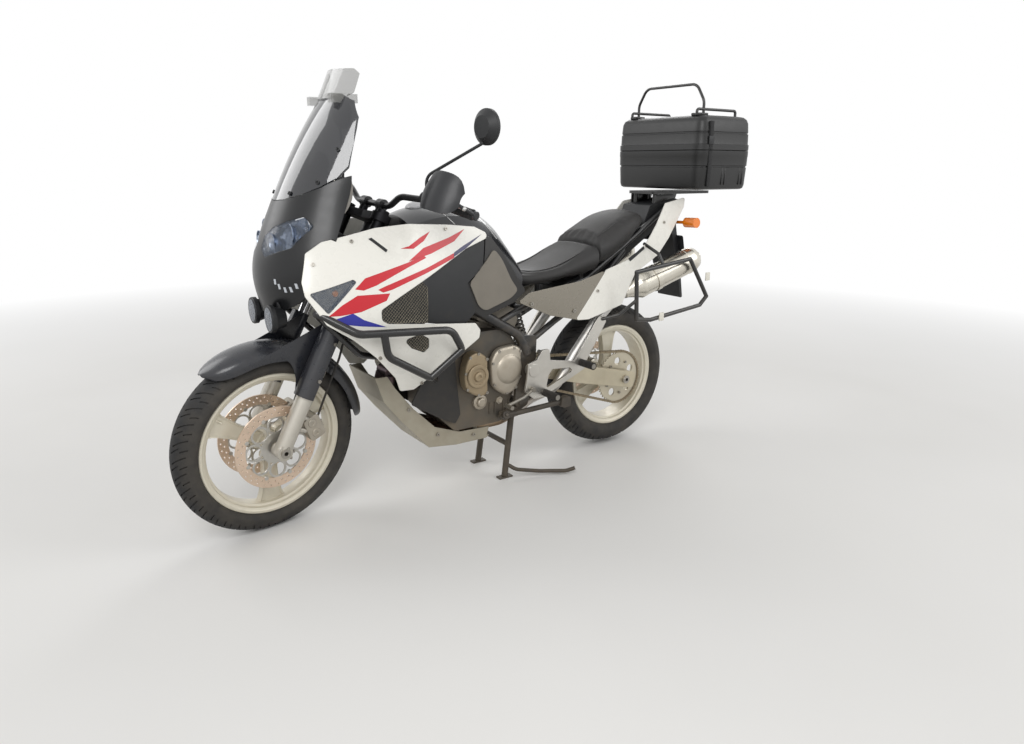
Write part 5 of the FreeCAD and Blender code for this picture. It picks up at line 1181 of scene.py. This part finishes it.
DIAL_PIECES = (
    ("dial_rings", rings, axle_steel),
    ("dial_faces", faces, painted("dial face", tint(18, 19, 22), 0.6)),
    ("dial_marks", marks, painted("dial mark paint", tint(226, 228, 226), 0.5)),
    ("dial_needles", needles, painted("needle paint", tint(206, 52, 34), 0.5)),
)
for name, things, finish in DIAL_PIECES:
    fit(join(name, things), finish, "chassis")
display = Finish("display glass")
display_finish = display.shade(display.mix(display.noise(200, 1), tint(118, 128, 112), tint(126, 136, 119)),
                               0.2 + display.noise(40, 2) * 0.05, fixed={"Coat Weight": 0.6})
screen_at = pod_face - POD_UP * 0.004
display_edge = on_plane(screen_at + POD_UP * 0.012, SIDE, POD_UP, rectangle(0.0, -0.002, 0.0075, 0.016))
fit(cut_plate("display", display_edge, POD_OUT * 0.001), display_finish, "chassis")
TELL_TALES = (tint(60, 150, 70), tint(196, 130, 40), tint(170, 40, 36), tint(50, 80, 170))
for number, colour in enumerate(TELL_TALES):
    spot = pod_face + SIDE * (0.012 - number * 0.008) - POD_UP * 0.030
    light = turn(f"tell_tale_{number}", mm((0, 0), (0, 2.8), (1.2, 2.4), (1.2, 0)), spot, POD_OUT, 12)
    fit(light, painted(f"tell-tale lens {number}", colour, 0.3), "chassis")

# Stands
# The machine rests on the forked centre stand under the engine. The side stand is folded back along
# the left side. Both are bent and welded of steel and painted black.
stand_black = painted("black stand paint", tint(26, 25, 25), 0.5, dust=0.3, rounding=0.002)
dress(stand_black, "centre_stand", "side_stand")

# Radiators
# One behind each side fairing: a black core of fine fins between two tanks.
core = Finish("radiator core")
fins = core.waves("Z", 130.0)
# The colour swings with the fins from dark to grey: painted highlights on the fin edges and painted shade in
# the gaps between them.
core_finish = core.shade(core.mix(fins, tint(16, 16, 17), tint(70, 68, 64)), 0.5 + fins * 0.1, fins, 0.0004,
                         0.001, {"Metallic": 0.5})
dress(core_finish, "radiators")

# Fuel tank
# A black cover over the steel tank, with a screwed filler cap and silver piping down each side of
# its top.
tank_gloss = painted("black tank cover", tint(12, 14, 19), 0.24, dust=0.04, coat=0.4, rounding=0.002)
dress(tank_gloss, "fuel_tank")
CAP = Vector((0.210, 0, 1.116))
cap = turn("filler_cap", mm((-4, 0), (-4, 44), (3, 43.5), (5, 41), (5, 31.5), (3.5, 31), (3.5, 29.5), (6, 29),
                            (8, 26), (8, 0)), CAP, UP, 48)
cap_metal = cast_metal("filler cap metal", tint(150, 150, 150), 0.3, 0.9, 0.1, 0.00001, 0.001)
fit(cap, cap_metal, "chassis")
cap_screws = [(CAP + Vector((0.036 * math.cos(turned_by), 0.036 * math.sin(turned_by), 0.004)), UP)
              for turned_by in (math.tau * number / 7 for number in range(7))]
fit(set_out("filler_cap_screws", cap_screw(0.0032), cap_screws), screw_steel, "chassis")
silver_trim = painted("silver trim", tint(190, 190, 188), 0.3, metallic=0.5, coat=0.3)
TANK_PIPING = [
    mm((270, 70), (267, 100), (262, 130), (250, 150), (236, 163)),
    mm((176, 66), (150, 90), (121, 110), (92, 126), (68, 138), (50, 148)),
]
for number, line in enumerate(TANK_PIPING):
    route = [place + normal * 0.0004
             for place, normal in (landed("fuel_tank", (x, y, ABOVE), -UP) for x, y in line) if place]
    fit_both(pipe(f"tank_piping_{number}", route, 0.0018, 8), silver_trim)
dome = turn("tank_dome", mm((-4, 0), (-4, 40), (3, 40), (9, 34), (14, 22), (16.5, 10), (17, 0)),
            landed("fuel_tank", (0.305, 0.0, ABOVE), -UP)[0], (0.2, 0, 1), 32)
fit(dome, painted("pale grey dome", tint(176, 176, 178), 0.3, coat=0.4), "chassis")


# Side fairings and knee panels
# Large white mouldings with red and blue stripes, open for a wire-mesh grille, a small duct and the
# indicator. Behind them lie dark inner panels, and grey pads in black frames lie along the tank.
def laid_on(name, outline, node, lift, thick, pitch=0.022, way=-SIDE):
    """A thin sheet cut to an outline, seen along the given way, and pressed onto a node."""
    if way.y:
        flat = [Vector((x, BESIDE, z)) for x, z in outline]
    else:
        flat = [Vector((IN_FRONT, y, z)) for y, z in outline]
    thing = draw(name, flat)
    bpy.ops.mesh.select_all(action="SELECT")
    bpy.ops.mesh.edge_face_add()
    for axis in (AHEAD, UP, SIDE):
        reach = [corner.dot(axis) for corner in flat]
        cut_at = min(reach) + pitch
        while cut_at < max(reach) - pitch * 0.3:
            bpy.ops.mesh.select_all(action="SELECT")
            bpy.ops.mesh.bisect(plane_co=axis * cut_at, plane_no=axis)
            cut_at += pitch
    bpy.ops.object.mode_set(mode="OBJECT")
    missed, deep = [], []
    for vertex in thing.data.vertices:
        place, _ = landed(node, vertex.co, way)
        if place:
            vertex.co = place - way * lift
            deep.append((vertex.co.copy(), vertex.co.dot(way)))
        else:
            missed.append(vertex)
    for vertex in missed:
        flat_at = vertex.co - way * vertex.co.dot(way)
        nearest = min(deep, key=lambda known: (known[0] - way * known[1] - flat_at).length)
        vertex.co = flat_at + way * nearest[1]
    edit_all()
    extrude(-way * thick)
    return close_up(thing)


def screws_on(name, node, starts, way, radius, material):
    """Screw heads on both sides of a node, each where a line in the given way meets it."""
    places = []
    for start in starts:
        place, normal = landed(node, start, way)
        if place:
            places.append((place - normal * 0.0008, normal))
    return fit_both(set_out(name, cap_screw(radius), places), material)


white_paint = painted("warm white paint", tint(232, 230, 222), 0.28, dust=0.08, coat=0.3, rounding=0.003)
dress(white_paint, "side_fairings", "tail_panels")
dress(plain_black, "inner_panels")
knee_frame = painted("black knee frame", tint(34, 33, 32), 0.55, dust=0.08)
dress(knee_frame, "knee_panels")

RED = painted("red stripe", tint(196, 22, 38), 0.34, coat=0.2)
BLUE = painted("blue stripe", tint(28, 34, 148), 0.34, coat=0.2)
NAVY = painted("navy stripe", tint(30, 28, 78), 0.34, coat=0.2)
STRIPES = (
    (RED, [(674, 874), (635, 905), (468, 944), (409, 963), (400, 953), (471, 929), (527, 908), (600, 880),
           (646, 868)]),
    (RED, [(470, 946), (404, 985), (295, 1013), (221, 1038), (274, 1000), (375, 966), (420, 956)]),
    (RED, [(491, 988), (457, 994), (406, 1020), (364, 1037), (396, 1008), (442, 985)]),
    (RED, [(596, 866), (564, 876), (407, 919), (280, 962), (286, 945), (410, 903), (545, 862), (579, 856)]),
    (NAVY, [(282, 963), (240, 982), (150, 1017), (228, 973), (288, 947)]),
    (RED, [(769, 797), (723, 828), (669, 854), (555, 851), (570, 829), (662, 802), (731, 796)]),
    (BLUE, [(756, 785), (690, 800), (656, 776), (576, 743), (665, 756), (724, 768)]),
)
for number, (finish, points) in enumerate(STRIPES):
    stripe = laid_on(f"fairing_stripe_{number}", mm(*points), "side_fairings", 0.0002, 0.0004)
    fit_both(stripe, finish, 60)
SEAM = mm((596, 1024), (584, 1027), (538, 987), (546, 980))
fit_both(laid_on("fairing_vent", SEAM, "side_fairings", 0.0002, 0.0012), plain_black)
TAIL_SLOT = mm((-590, 881), (-683, 926), (-688, 915), (-601, 868))
fit_both(laid_on("tail_slot", TAIL_SLOT, "tail_panels", 0.0002, 0.0010), plain_black)

KNEE_PAD = smoothed(mm((216, 848), (128, 926), (92, 962), (60, 924), (20, 846), (-18, 800), (18, 772),
                       (140, 738), (174, 760)), 0.018)
pad_grain = Finish("grey knee pad")
pad_finish = pad_grain.shade(pad_grain.mix(pad_grain.noise(14, 4), tint(112, 107, 98), tint(128, 122, 112)),
                             0.62 + pad_grain.noise(40, 2) * 0.1, pad_grain.noise(900, 2), 0.0002, 0.004)
fit_both(laid_on("knee_pads", KNEE_PAD, "knee_panels", 0.0003, 0.004), pad_finish)

GRILLES = {
    # corners in order round each opening, which is convex
    "grille_upper": mm((604, 802), (408, 892), (416, 736), (572, 744), (610, 766)),
    "grille_lower": mm((514, 690), (447, 706), (404, 682), (402, 644), (428, 626), (482, 650)),
}
GRILLE_CELL = 0.0085
GRILLE_CELLS = 30


def wire_mesh(name, corners, node, lift):
    """Crossed wires, cut to an outline and pressed onto a node."""
    middle = sum((Vector(corner) for corner in corners), Vector((0, 0))) / len(corners)
    deselect()
    bpy.ops.mesh.primitive_grid_add(x_subdivisions=GRILLE_CELLS, y_subdivisions=GRILLE_CELLS,
                                    size=GRILLE_CELLS * GRILLE_CELL)
    thing = bpy.context.object
    thing.name = name
    turned_grid = Matrix.Rotation(math.radians(45), 3, "Y") @ Matrix.Rotation(math.radians(90), 3, "X")
    for vertex in thing.data.vertices:
        vertex.co = turned_grid @ vertex.co + Vector((middle.x, BESIDE, middle.y))
    bpy.ops.object.mode_set(mode="EDIT")
    for start, end in zip(corners, corners[1:] + corners[:1]):
        edge = Vector((end[0] - start[0], 0, end[1] - start[1]))
        outward = Vector((-edge.z, 0, edge.x))
        if outward.dot(Vector((start[0] - middle.x, 0, start[1] - middle.y))) < 0:
            outward = -outward
        bpy.ops.mesh.select_all(action="SELECT")
        bpy.ops.mesh.bisect(plane_co=(start[0], 0, start[1]), plane_no=outward, clear_outer=True)
    bpy.ops.object.mode_set(mode="OBJECT")
    for vertex in thing.data.vertices:
        place, _ = landed(node, vertex.co, -SIDE)
        vertex.co.y = place.y + lift if place else 0.24
    wires = thing.modifiers.new("wires", "WIREFRAME")
    wires.thickness = 0.0017
    wires.use_even_offset = False
    return applied(thing, wires)


wire_finish = cast_metal("grille wire", tint(150, 142, 124), 0.45, 0.5, 0.3, 0.00002, 0.0)
for name, corners in GRILLES.items():
    fit_both(wire_mesh(name, corners, "inner_panels", 0.0012), wire_finish)
screws_on("fairing_screws", "side_fairings",
          [(x, BESIDE, z) for x, z in mm((790, 955), (655, 1018), (300, 1042), (190, 700), (600, 640),
                                         (420, 512))], -SIDE, 0.006, screw_steel)

INDICATOR_EDGE = mm((806, 866), (678, 899), (670, 894), (765, 812))
lens = Finish("clear ribbed lens")
ribbing = lens.waves("X", 60.0)
lens_rough = 0.06 + lens.noise(20) * 0.05
lens_finish = lens.shade(lens.mix(lens.noise(12, 3), tint(78, 88, 102), tint(112, 122, 138)), lens_rough,
                         ribbing, 0.0003, fixed={"Alpha": 0.30, "Coat Weight": 1.0})
dress(lens_finish, "front_indicators")


def reflector_foil(name, dark, bright):
    """Bright metal film on moulded facets, each painted dark in its middle and bright towards its rim as a
    painted reflection.
    """
    foil = Finish(name)
    facet_and_painted_glint = foil.cells(95.0)
    # Each facet's colour runs from the dark tone in its middle to the bright one at its rim: painted
    # reflections on the foil.
    return foil.shade(foil.mix(facet_and_painted_glint, dark, bright), 0.12 + facet_and_painted_glint * 0.1, facet_and_painted_glint, 0.0012,
                      fixed={"Metallic": 0.95})


warm_foil = reflector_foil("indicator reflector", tint(96, 94, 88), tint(160, 156, 144))
fit_both(laid_on("indicator_reflectors", INDICATOR_EDGE, "front_indicators", -0.020, 0.001),
         warm_foil)
amber = painted("amber bulb", tint(226, 140, 40), 0.25, coat=0.5)
bulb_at, _ = landed("front_indicators", (0.735, BESIDE, 0.862), -SIDE)
if bulb_at:
    bulb = turn("indicator_bulbs", mm((-16, 0), (-16, 9), (-8, 11), (0, 8), (3, 0)),
                bulb_at - Vector((0, 0.012, 0)), (0.3, 1, 0), 20)
    fit_both(bulb, amber)

# Nose, headlamps and screen
# A black nose moulding holds a twin headlamp behind clear lenses. Above it stands a tinted screen with
# a clear clip-on deflector, and two round lamps hang below on stalks.
nose_black = painted("black nose plastic", tint(11, 12, 14), 0.34, dust=0.03, coat=0.06, rounding=0.003)
dress(nose_black, "nose_fairing")
dress(lens_finish, "headlamps")
dress(plain_black, "front_carrier", "aux_lamps")
foil_finish = reflector_foil("lamp reflector", tint(74, 88, 116), tint(190, 202, 220))
LAMP_OUTLINE = mm((26, 990), (60, 966), (150, 1000), (180, 1066), (150, 1096), (60, 1060), (26, 1030))
lamp_edge = smoothed(LAMP_OUTLINE, 0.012, 3)
fit_both(laid_on("headlamp_reflectors", lamp_edge, "headlamps", -0.030, 0.001, 0.03, -AHEAD),
         foil_finish)
bowls = []
for y, z, radius in ((0.066, 1.012, 0.030), (0.124, 1.040, 0.036)):
    place, _ = landed("headlamps", (IN_FRONT, y, z), -AHEAD)
    if place:
        bowls.append(turn("lamp_bowl", [(-0.030, 0.0), (-0.030, 0.008),
                                        (-0.024, radius * 0.6), (-0.010, radius * 0.92), (-0.006, radius),
                                        (-0.004, radius), (-0.004, radius - 0.002), (-0.012, radius * 0.85),
                                        (-0.026, 0.010), (-0.026, 0.005), (-0.012, 0.005), (-0.010, 0.0)],
                          place - Vector((0.003, 0, 0)), AHEAD, 36))
fit_both(join("headlamp_bowls", bowls), foil_finish)
SLATS = mm((112, 893), (123, 878), (138, 868), (153, 870), (168, 882))
slats = [laid_on("slat", rectangle(y, z, 0.0022, 0.0085), "nose_fairing", 0.0, 0.003, 0.03, -AHEAD)
         for y, z in SLATS]
fit_both(join("nose_slats", slats), painted("pale slat plastic", tint(196, 200, 206), 0.3))
EDGE_HEIGHTS = (1.105, 1.125, 1.145, 1.165, 1.185, 1.205, 1.222)
edge_line = []
for z in EDGE_HEIGHTS:
    for step in range(80):
        place, _ = landed("nose_fairing", (0.560 + step * 0.002, BESIDE, z), -SIDE)
        if place:
            edge_line.append(place)
            break
TRIM_WIDTH = 0.016
trim_rings = []
for number, place in enumerate(edge_line):
    wide = TRIM_WIDTH * math.sin(math.pi * (number + 0.6) / len(edge_line))
    trim_rings.append([place + Vector((0.004, -0.003, 0)), place + Vector((-wide, -0.003 - wide * 0.4, 0))])
trim = wrapped("nose_inner_trim", trim_rings)
fit_both(thickened(trim, 0.002), painted("grey inner trim", tint(132, 128, 122), 0.5))

tinted = Finish("tinted screen")
haze = tinted.noise(5, 3)
tinted_finish = tinted.shade(tinted.mix(haze, tint(10, 12, 19), tint(19, 22, 31)), 0.05 + haze * 0.05,
                             fixed={"Alpha": 0.9, "Coat Weight": 1.0, "Specular IOR Level": 0.7})
dress(tinted_finish, "windscreen")
clear = Finish("clear deflector")
clear_finish = clear.shade(clear.mix(clear.noise(5, 3), tint(104, 103, 98), tint(136, 136, 132)),
                           0.04 + clear.noise(30, 2) * 0.05, fixed={"Alpha": 0.42, "Coat Weight": 1.0})
dress(clear_finish, "wind_deflector")
screws_on("screen_screws", "windscreen",
          [(IN_FRONT, y, z) for y, z in mm((150, 1200), (80, 1165), (165, 1300))], -AHEAD, 0.0065,
          plain_black)

LAMP_FACE = Vector((0.898, 0.092, 0.770))
lamp_ring = turn("aux_lamp_rings", mm((-12, 43.5), (-12, 45.5), (1, 46), (3.5, 44), (3.5, 38.5), (-2, 38),
                                      (-12, 43.5)), LAMP_FACE - Vector((0.004, 0, 0)), AHEAD, 48)
fit_both(lamp_ring, plain_black)
lamp_bowl = turn("aux_lamp_reflectors", mm((0.2, 0), (0.2, 38.5), (1, 38.5), (1.2, 0)), LAMP_FACE, AHEAD, 40)
fit_both(lamp_bowl, reflector_foil("dark lamp reflector", tint(44, 48, 54), tint(110, 118, 130)))
lamp_glass = turn("aux_lamp_glasses", mm((1.4, 0), (1.4, 38.2), (1.6, 38.2), (5, 24), (6.4, 0)),
                  LAMP_FACE - Vector((0.004, 0, 0)), AHEAD, 40)
fit_both(lamp_glass, lens_finish)

# Seats
# Foam under a sewn, finely grained cover: a dished place for the rider and a higher one behind.
vinyl = Finish("seat vinyl")
grain = vinyl.cells(620.0)
wear = vinyl.noise(7, 4)
vinyl_finish = vinyl.shade(vinyl.mix(wear, tint(24, 24, 25), tint(41, 39, 37)), 0.50 + wear * 0.18,
                           grain + vinyl.noise(60, 2) * 0.6, 0.0002)
SHRINK = 0.006
SWELL = 0.010
SWELL_FRAMES = 20


def padded_seat(name, node):
    """The node's shape a little smaller, swollen as foam under its cover, and held off its neighbours."""
    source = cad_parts[node]
    thing = source.copy()
    thing.data = source.data.copy()
    thing.name = name
    bpy.context.scene.collection.objects.link(thing)
    pick(thing)
    edit_all()
    bpy.ops.mesh.remove_doubles(threshold=0.0001)
    bpy.ops.mesh.normals_make_consistent(inside=False)
    bpy.ops.object.mode_set(mode="OBJECT")
    remesh = thing.modifiers.new("remesh", "REMESH")
    remesh.mode = "VOXEL"
    remesh.voxel_size = 0.006
    applied(thing, remesh)
    surface = [(vertex.co.copy(), vertex.normal.copy()) for vertex in thing.data.vertices]
    for vertex, (place, normal) in zip(thing.data.vertices, surface):
        vertex.co = place - normal * SHRINK
    start = [vertex.co.copy() for vertex in thing.data.vertices]
    cloth = thing.modifiers.new("cloth", "CLOTH")
    cloth.settings.use_pressure = True
    cloth.settings.uniform_pressure_force = 4.0
    cloth.settings.effector_weights.gravity = 0.0
    for number in range(SWELL_FRAMES):
        bpy.context.scene.frame_set(number + 1)
    shaped = thing.evaluated_get(bpy.context.evaluated_depsgraph_get()).data
    swollen = [vertex.co.copy() for vertex in shaped.vertices]
    bpy.ops.object.modifier_remove(modifier="cloth")
    bpy.context.scene.frame_set(1)
    for vertex, first, last, (place, normal) in zip(thing.data.vertices, start, swollen, surface):
        move = last - first
        if move.length > SWELL:
            move = move.normalized() * SWELL
        beyond = (first + move - place).dot(normal)
        limit = 0.0025 if normal.z > 0.3 else -0.0005
        vertex.co = first + move - normal * max(0.0, beyond - limit)
    smooth = thing.modifiers.new("smooth", "SMOOTH")
    smooth.factor = 0.5
    smooth.iterations = 6
    applied(thing, smooth)
    finer = thing.modifiers.new("finer", "SUBSURF")
    finer.levels = 1
    finer.render_levels = 1
    applied(thing, finer)
    fit(thing, vinyl_finish, "chassis", 180)
    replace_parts(thing, node)
    return thing


seats = {"rider_seat": padded_seat("rider_seat_pad", "rider_seat"),
         "pillion_seat": padded_seat("pillion_seat_pad", "pillion_seat")}
PIPING_R = 0.0018
SEAMS = {
    # x and half width of the sewn line round each seat's top
    "rider_seat": mm((-100, 50), (-150, 84), (-220, 102), (-300, 112), (-380, 116), (-440, 114)),
    "pillion_seat": mm((-480, 110), (-540, 112), (-600, 108), (-660, 100), (-715, 86)),
}
for node, line in SEAMS.items():
    closed = []
    for x, y in line + [(x, -y) for x, y in reversed(line)]:
        hit, place, normal, _ = seats[node].ray_cast(Vector((x, y, ABOVE)), -UP)
        if hit:
            closed.append(place + normal * 0.0004)
    fit(pipe(f"{node}_piping", closed, PIPING_R, 8), vinyl_finish, "chassis", 60)

# Side covers and tail
# Grey metallic covers under the seat, white tail panels that sweep up to the carrier, and a black
# tail between them with the rear lamp, the indicators, a black mudguard and a blank plate.
cover_paint = painted("grey metallic cover", tint(132, 126, 114), 0.28, dust=0.06, metallic=0.45, coat=0.5,
                      rounding=0.003)
dress(cover_paint, "side_covers")
dress(plain_black, "tail_core", "rear_mudguard")
red_lens = Finish("red and amber lens")
to_side = red_lens.node("Math", {"operation": "ABSOLUTE"}, {0: red_lens.axes()[1]})
ribs_lens = red_lens.waves("Y", 50.0)
red_finish = red_lens.shade(red_lens.mix(to_side > 0.09, tint(168, 14, 16), tint(238, 128, 20)),
                            0.12 + red_lens.noise(15) * 0.06, ribs_lens, 0.0003, 0.0015, {"Coat Weight": 0.8})
dress(red_finish, "rear_lamps")
screws_on("side_cover_screws", "side_covers", [(-0.087, BESIDE, 0.738), (-0.297, BESIDE, 0.690)], -SIDE,
          0.0075, screw_steel)
screws_on("tail_screws", "tail_panels", [(-0.420, BESIDE, 0.760), (-0.820, BESIDE, 1.020)], -SIDE, 0.006,
          screw_steel)

GUARD_TOP = Vector((-0.972, 0, 1.040))
GUARD_BEND_AT = Vector((-1.030, 0, 0.790))
GUARD_FOOT = Vector((-1.053, 0, 0.660))
guard_down = (GUARD_BEND_AT - GUARD_TOP).normalized()
guard_out = Vector((guard_down.z, 0, -guard_down.x))
plate_at = GUARD_TOP + guard_down * 0.170 + guard_out * 0.0005


def plate_corners(centre, half_width, half_height, lift):
    return [centre + guard_out * lift + SIDE * a + guard_down * b
            for a, b in rectangle(0, 0, half_width, half_height)]


holder = cut_plate("plate_holder", smoothed(plate_corners(plate_at, 0.106, 0.078, 0.0), 0.010),
                   guard_out * 0.003, 0.001)
light_edge = plate_corners(plate_at - guard_down * 0.094, 0.030, 0.011, 0.0)
lamp_box = cut_plate("plate_lamp", smoothed(light_edge, 0.006), guard_out * 0.022, 0.003)
fit(join("plate_holder", [holder, lamp_box]), plain_black, "chassis")
blank = painted("blank plate", tint(228, 227, 222), 0.35, dust=0.1)
fit(cut_plate("number_plate", smoothed(plate_corners(plate_at, 0.100, 0.072, 0.003), 0.008),
              guard_out * 0.0012), blank, "chassis")
low_down = (GUARD_FOOT - GUARD_BEND_AT).normalized()
low_out = Vector((low_down.z, 0, -low_down.x))
rear_reflector = turn("rear_reflector", mm((-1, 0), (-1, 26), (5, 26), (7, 23), (7, 0)),
                      GUARD_BEND_AT + low_down * 0.060, low_out, 36)
fit(rear_reflector, red_finish, "chassis")

# Foot brackets and controls
# Polished cast triangles carry the rubber-topped pegs, the gear lever on the left and the brake
# pedal on the right.
bracket_alloy = cast_metal("foot bracket alloy", tint(206, 203, 196), 0.28, 0.85, 0.15, 0.00003, 0.003)
dress(bracket_alloy, "foot_brackets")
peg_steel = cast_metal("peg steel", tint(150, 148, 142), 0.38, 0.85, 0.4, 0.00003, 0.0015)
dress(peg_steel, "foot_controls")
PEG_RUBBERS = {
    # each rubber's inner end and length
    "rider_peg_rubbers": (Vector((-0.150, 0.200, 0.372)), 0.084),
    "pillion_peg_rubbers": (Vector((-0.338, 0.198, 0.470)), 0.078),
}
for name, (foot, length) in PEG_RUBBERS.items():
    tread = []
    for number in range(int(length / 0.006)):
        at = 0.004 + number * 0.006
        tread += [(at, 0.0150), (at + 0.004, 0.0150), (at + 0.004, 0.0132), (at + 0.006, 0.0132)]
    profile = [(0.0, 0.0112), (0.0, 0.0150)] + tread + [(length, 0.0132), (length, 0.0112), (0.0, 0.0112)]
    fit_both(turn(name, profile, foot, SIDE, 20), grip_rubber)

# Crash bars, bash plate and cowls
# Black tubes loop round each side of the engine. A folded plate of bare alloy, dull with dust, covers
# its belly, and black cowls fill the space beside it.
bar_gloss = painted("black crash bar paint", tint(17, 17, 18), 0.26, dust=0.08, coat=0.3)
dress(bar_gloss, "crash_bars")
plate_metal = cast_metal("dull plate alloy", tint(176, 170, 154), 0.46, 0.65, 0.3, 0.00008, 0.002)
dress(plate_metal, "bash_plate")
dress(plain_black, "lower_cowls")
screws_on("bash_plate_screws", "bash_plate",
          [(x, BESIDE, z) for x, z in mm((480, 500), (420, 380), (300, 260), (140, 228))], -SIDE, 0.007,
          screw_steel)

# Racks and top box
# Bent steel hoops beside the tail take the side cases. A hard top box stands on the carrier: two black
# grained shells that meet at a rim, with straps, latches and a tubular rail on the lid.
rack_black = painted("black rack paint", tint(28, 27, 26), 0.35, dust=0.3, coat=0.3)
dress(rack_black, "luggage_racks", "lid_rail")
riser = side_view(mm((-835, 1062), (-835, 1135), (-968, 1135), (-952, 1092), (-905, 1072)), 0.073)
fit_both(cut_plate("carrier_riser", riser, SIDE * 0.004, 0.001), rack_black)
reflector = painted("pale reflector", tint(222, 218, 206), 0.25, coat=0.6)
blocks = [cut_plate("rack_block", side_view(rectangle(x, z, 0.013, 0.018), 0.289), SIDE * 0.006, 0.002)
          for x, z in ((-0.966, 0.790), (-0.694, 0.640))]
fit_both(join("rack_reflectors", blocks), reflector)

BOX_REAR, BOX_FRONT, BOX_HALF = -1.237, -0.897, 0.268
BOX_MIDDLE = Vector(((BOX_REAR + BOX_FRONT) / 2, 0, 0))
SHELL_IN = 0.004


def box_ring(z, inset):
    """A rounded outline of the box at a height."""
    inset += SHELL_IN
    flat = rectangle(BOX_MIDDLE.x, 0.0, (BOX_FRONT - BOX_REAR) / 2 - inset, BOX_HALF - inset)
    ring = smoothed([(x, y, z) for x, y in flat], max(0.060 - inset, 0.012), 7)
    return ring + ring[:1]


def box_shell_of(name, levels):
    rings = [box_ring(z, inset) for z, inset in levels]
    ends = [[BOX_MIDDLE + UP * level[0]] * len(rings[0]) for level in (levels[0], levels[-1])]
    return wrapped(name, ends[:1] + rings + ends[1:])


shell = painted("black box shell", tint(24, 24, 24), 0.42, dust=0.08, rounding=0.002)
base = box_shell_of("topbox_base_shell",
                    mm((1158, 40), (1158, 22), (1163, 12), (1176, 7), (1250, 3), (1252, 6), (1257, 6),
                       (1259, 2), (1296, 1), (1298, 0), (1320, 0), (1321.5, 2), (1321.5, 5.5), (1298, 6),
                       (1180, 12), (1166, 18), (1164, 30)))
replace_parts(fit(base, shell, "chassis"), "topbox_base")
lid = box_shell_of("topbox_lid_shell",
                   mm((1460, 50), (1452, 26), (1436, 16), (1330, 8), (1322.5, 5.5), (1322.5, 2), (1324, 0),
                      (1346, 0), (1348, 3), (1352, 4), (1390, 5), (1392, 8), (1397, 8), (1399, 6), (1436, 9),
                      (1452, 16), (1462, 30), (1466, 52)))
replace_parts(fit(lid, shell, "topbox_lid"), "topbox_lid")
webbing = Finish("strap webbing")
weave = webbing.waves("Z", 260.0, 0.4)
webbing_finish = webbing.shade(webbing.mix(weave, tint(16, 16, 17), tint(40, 40, 41)), 0.8, weave, 0.0003)


def side_strip(name, x, width, low, high, inset, thick, material, body):
    """An upright strip on both sides of the box."""
    strip = side_view(rectangle(x, (low + high) / 2, width / 2, (high - low) / 2),
                      BOX_HALF - SHELL_IN - inset)
    return fit(both_sides(cut_plate(name, strip, SIDE * thick, 0.0012)), material, body)


STRAP_X = -0.958
side_strip("base_straps", STRAP_X, 0.020, 1.170, 1.3205, 0.004, 0.0060, webbing_finish, "chassis")
side_strip("lid_straps", STRAP_X, 0.020, 1.3245, 1.440, 0.0085, 0.0100, webbing_finish, "topbox_lid")
side_strip("strap_buckles", STRAP_X, 0.030, 1.345, 1.380, 0.003, 0.0060, plain_black, "topbox_lid")
for number, x in enumerate((-1.046, -1.066, -1.160, -1.180)):
    side_strip(f"base_ribs_{number}", x, 0.006, 1.178, 1.250, 0.0065, 0.0035, shell, "chassis")
rear = BOX_REAR + SHELL_IN
LATCHES = (
    # the hook on the base and its catch on the lid: middle height, half height, body
    ("latch", 1.29425, 0.02625, "chassis"),
    ("latch_catch", 1.35235, 0.02815, "topbox_lid"),
)
for number, side in enumerate((-0.150, 0.150)):
    for name, middle, half, body in LATCHES:
        hook = [Vector((rear + 0.003, y, z)) for y, z in rectangle(side, middle, 0.018, half)]
        fit(cut_plate(f"{name}_{number}", hook, -AHEAD * 0.0065, 0.0015), plain_black, body)
lock = turn("box_lock", mm((-2, 0), (-2, 13), (3.5, 12), (3.5, 6), (1, 5), (1, 0)),
            (rear + 0.001, 0.0, 1.300), -AHEAD, 28)
fit(lock, cap_metal, "chassis")
corner_blocks = []
for side in (-1, 1):
    block = [(x, side * y, 1.4625) for x, y in mm((-985, 165), (-985, 215), (-940, 215),
                                                  (-930, 205), (-930, 165))]
    corner_blocks.append(cut_plate("corner_block", block, UP * 0.012, 0.004))
fit(join("lid_corner_blocks", corner_blocks), shell, "topbox_lid")
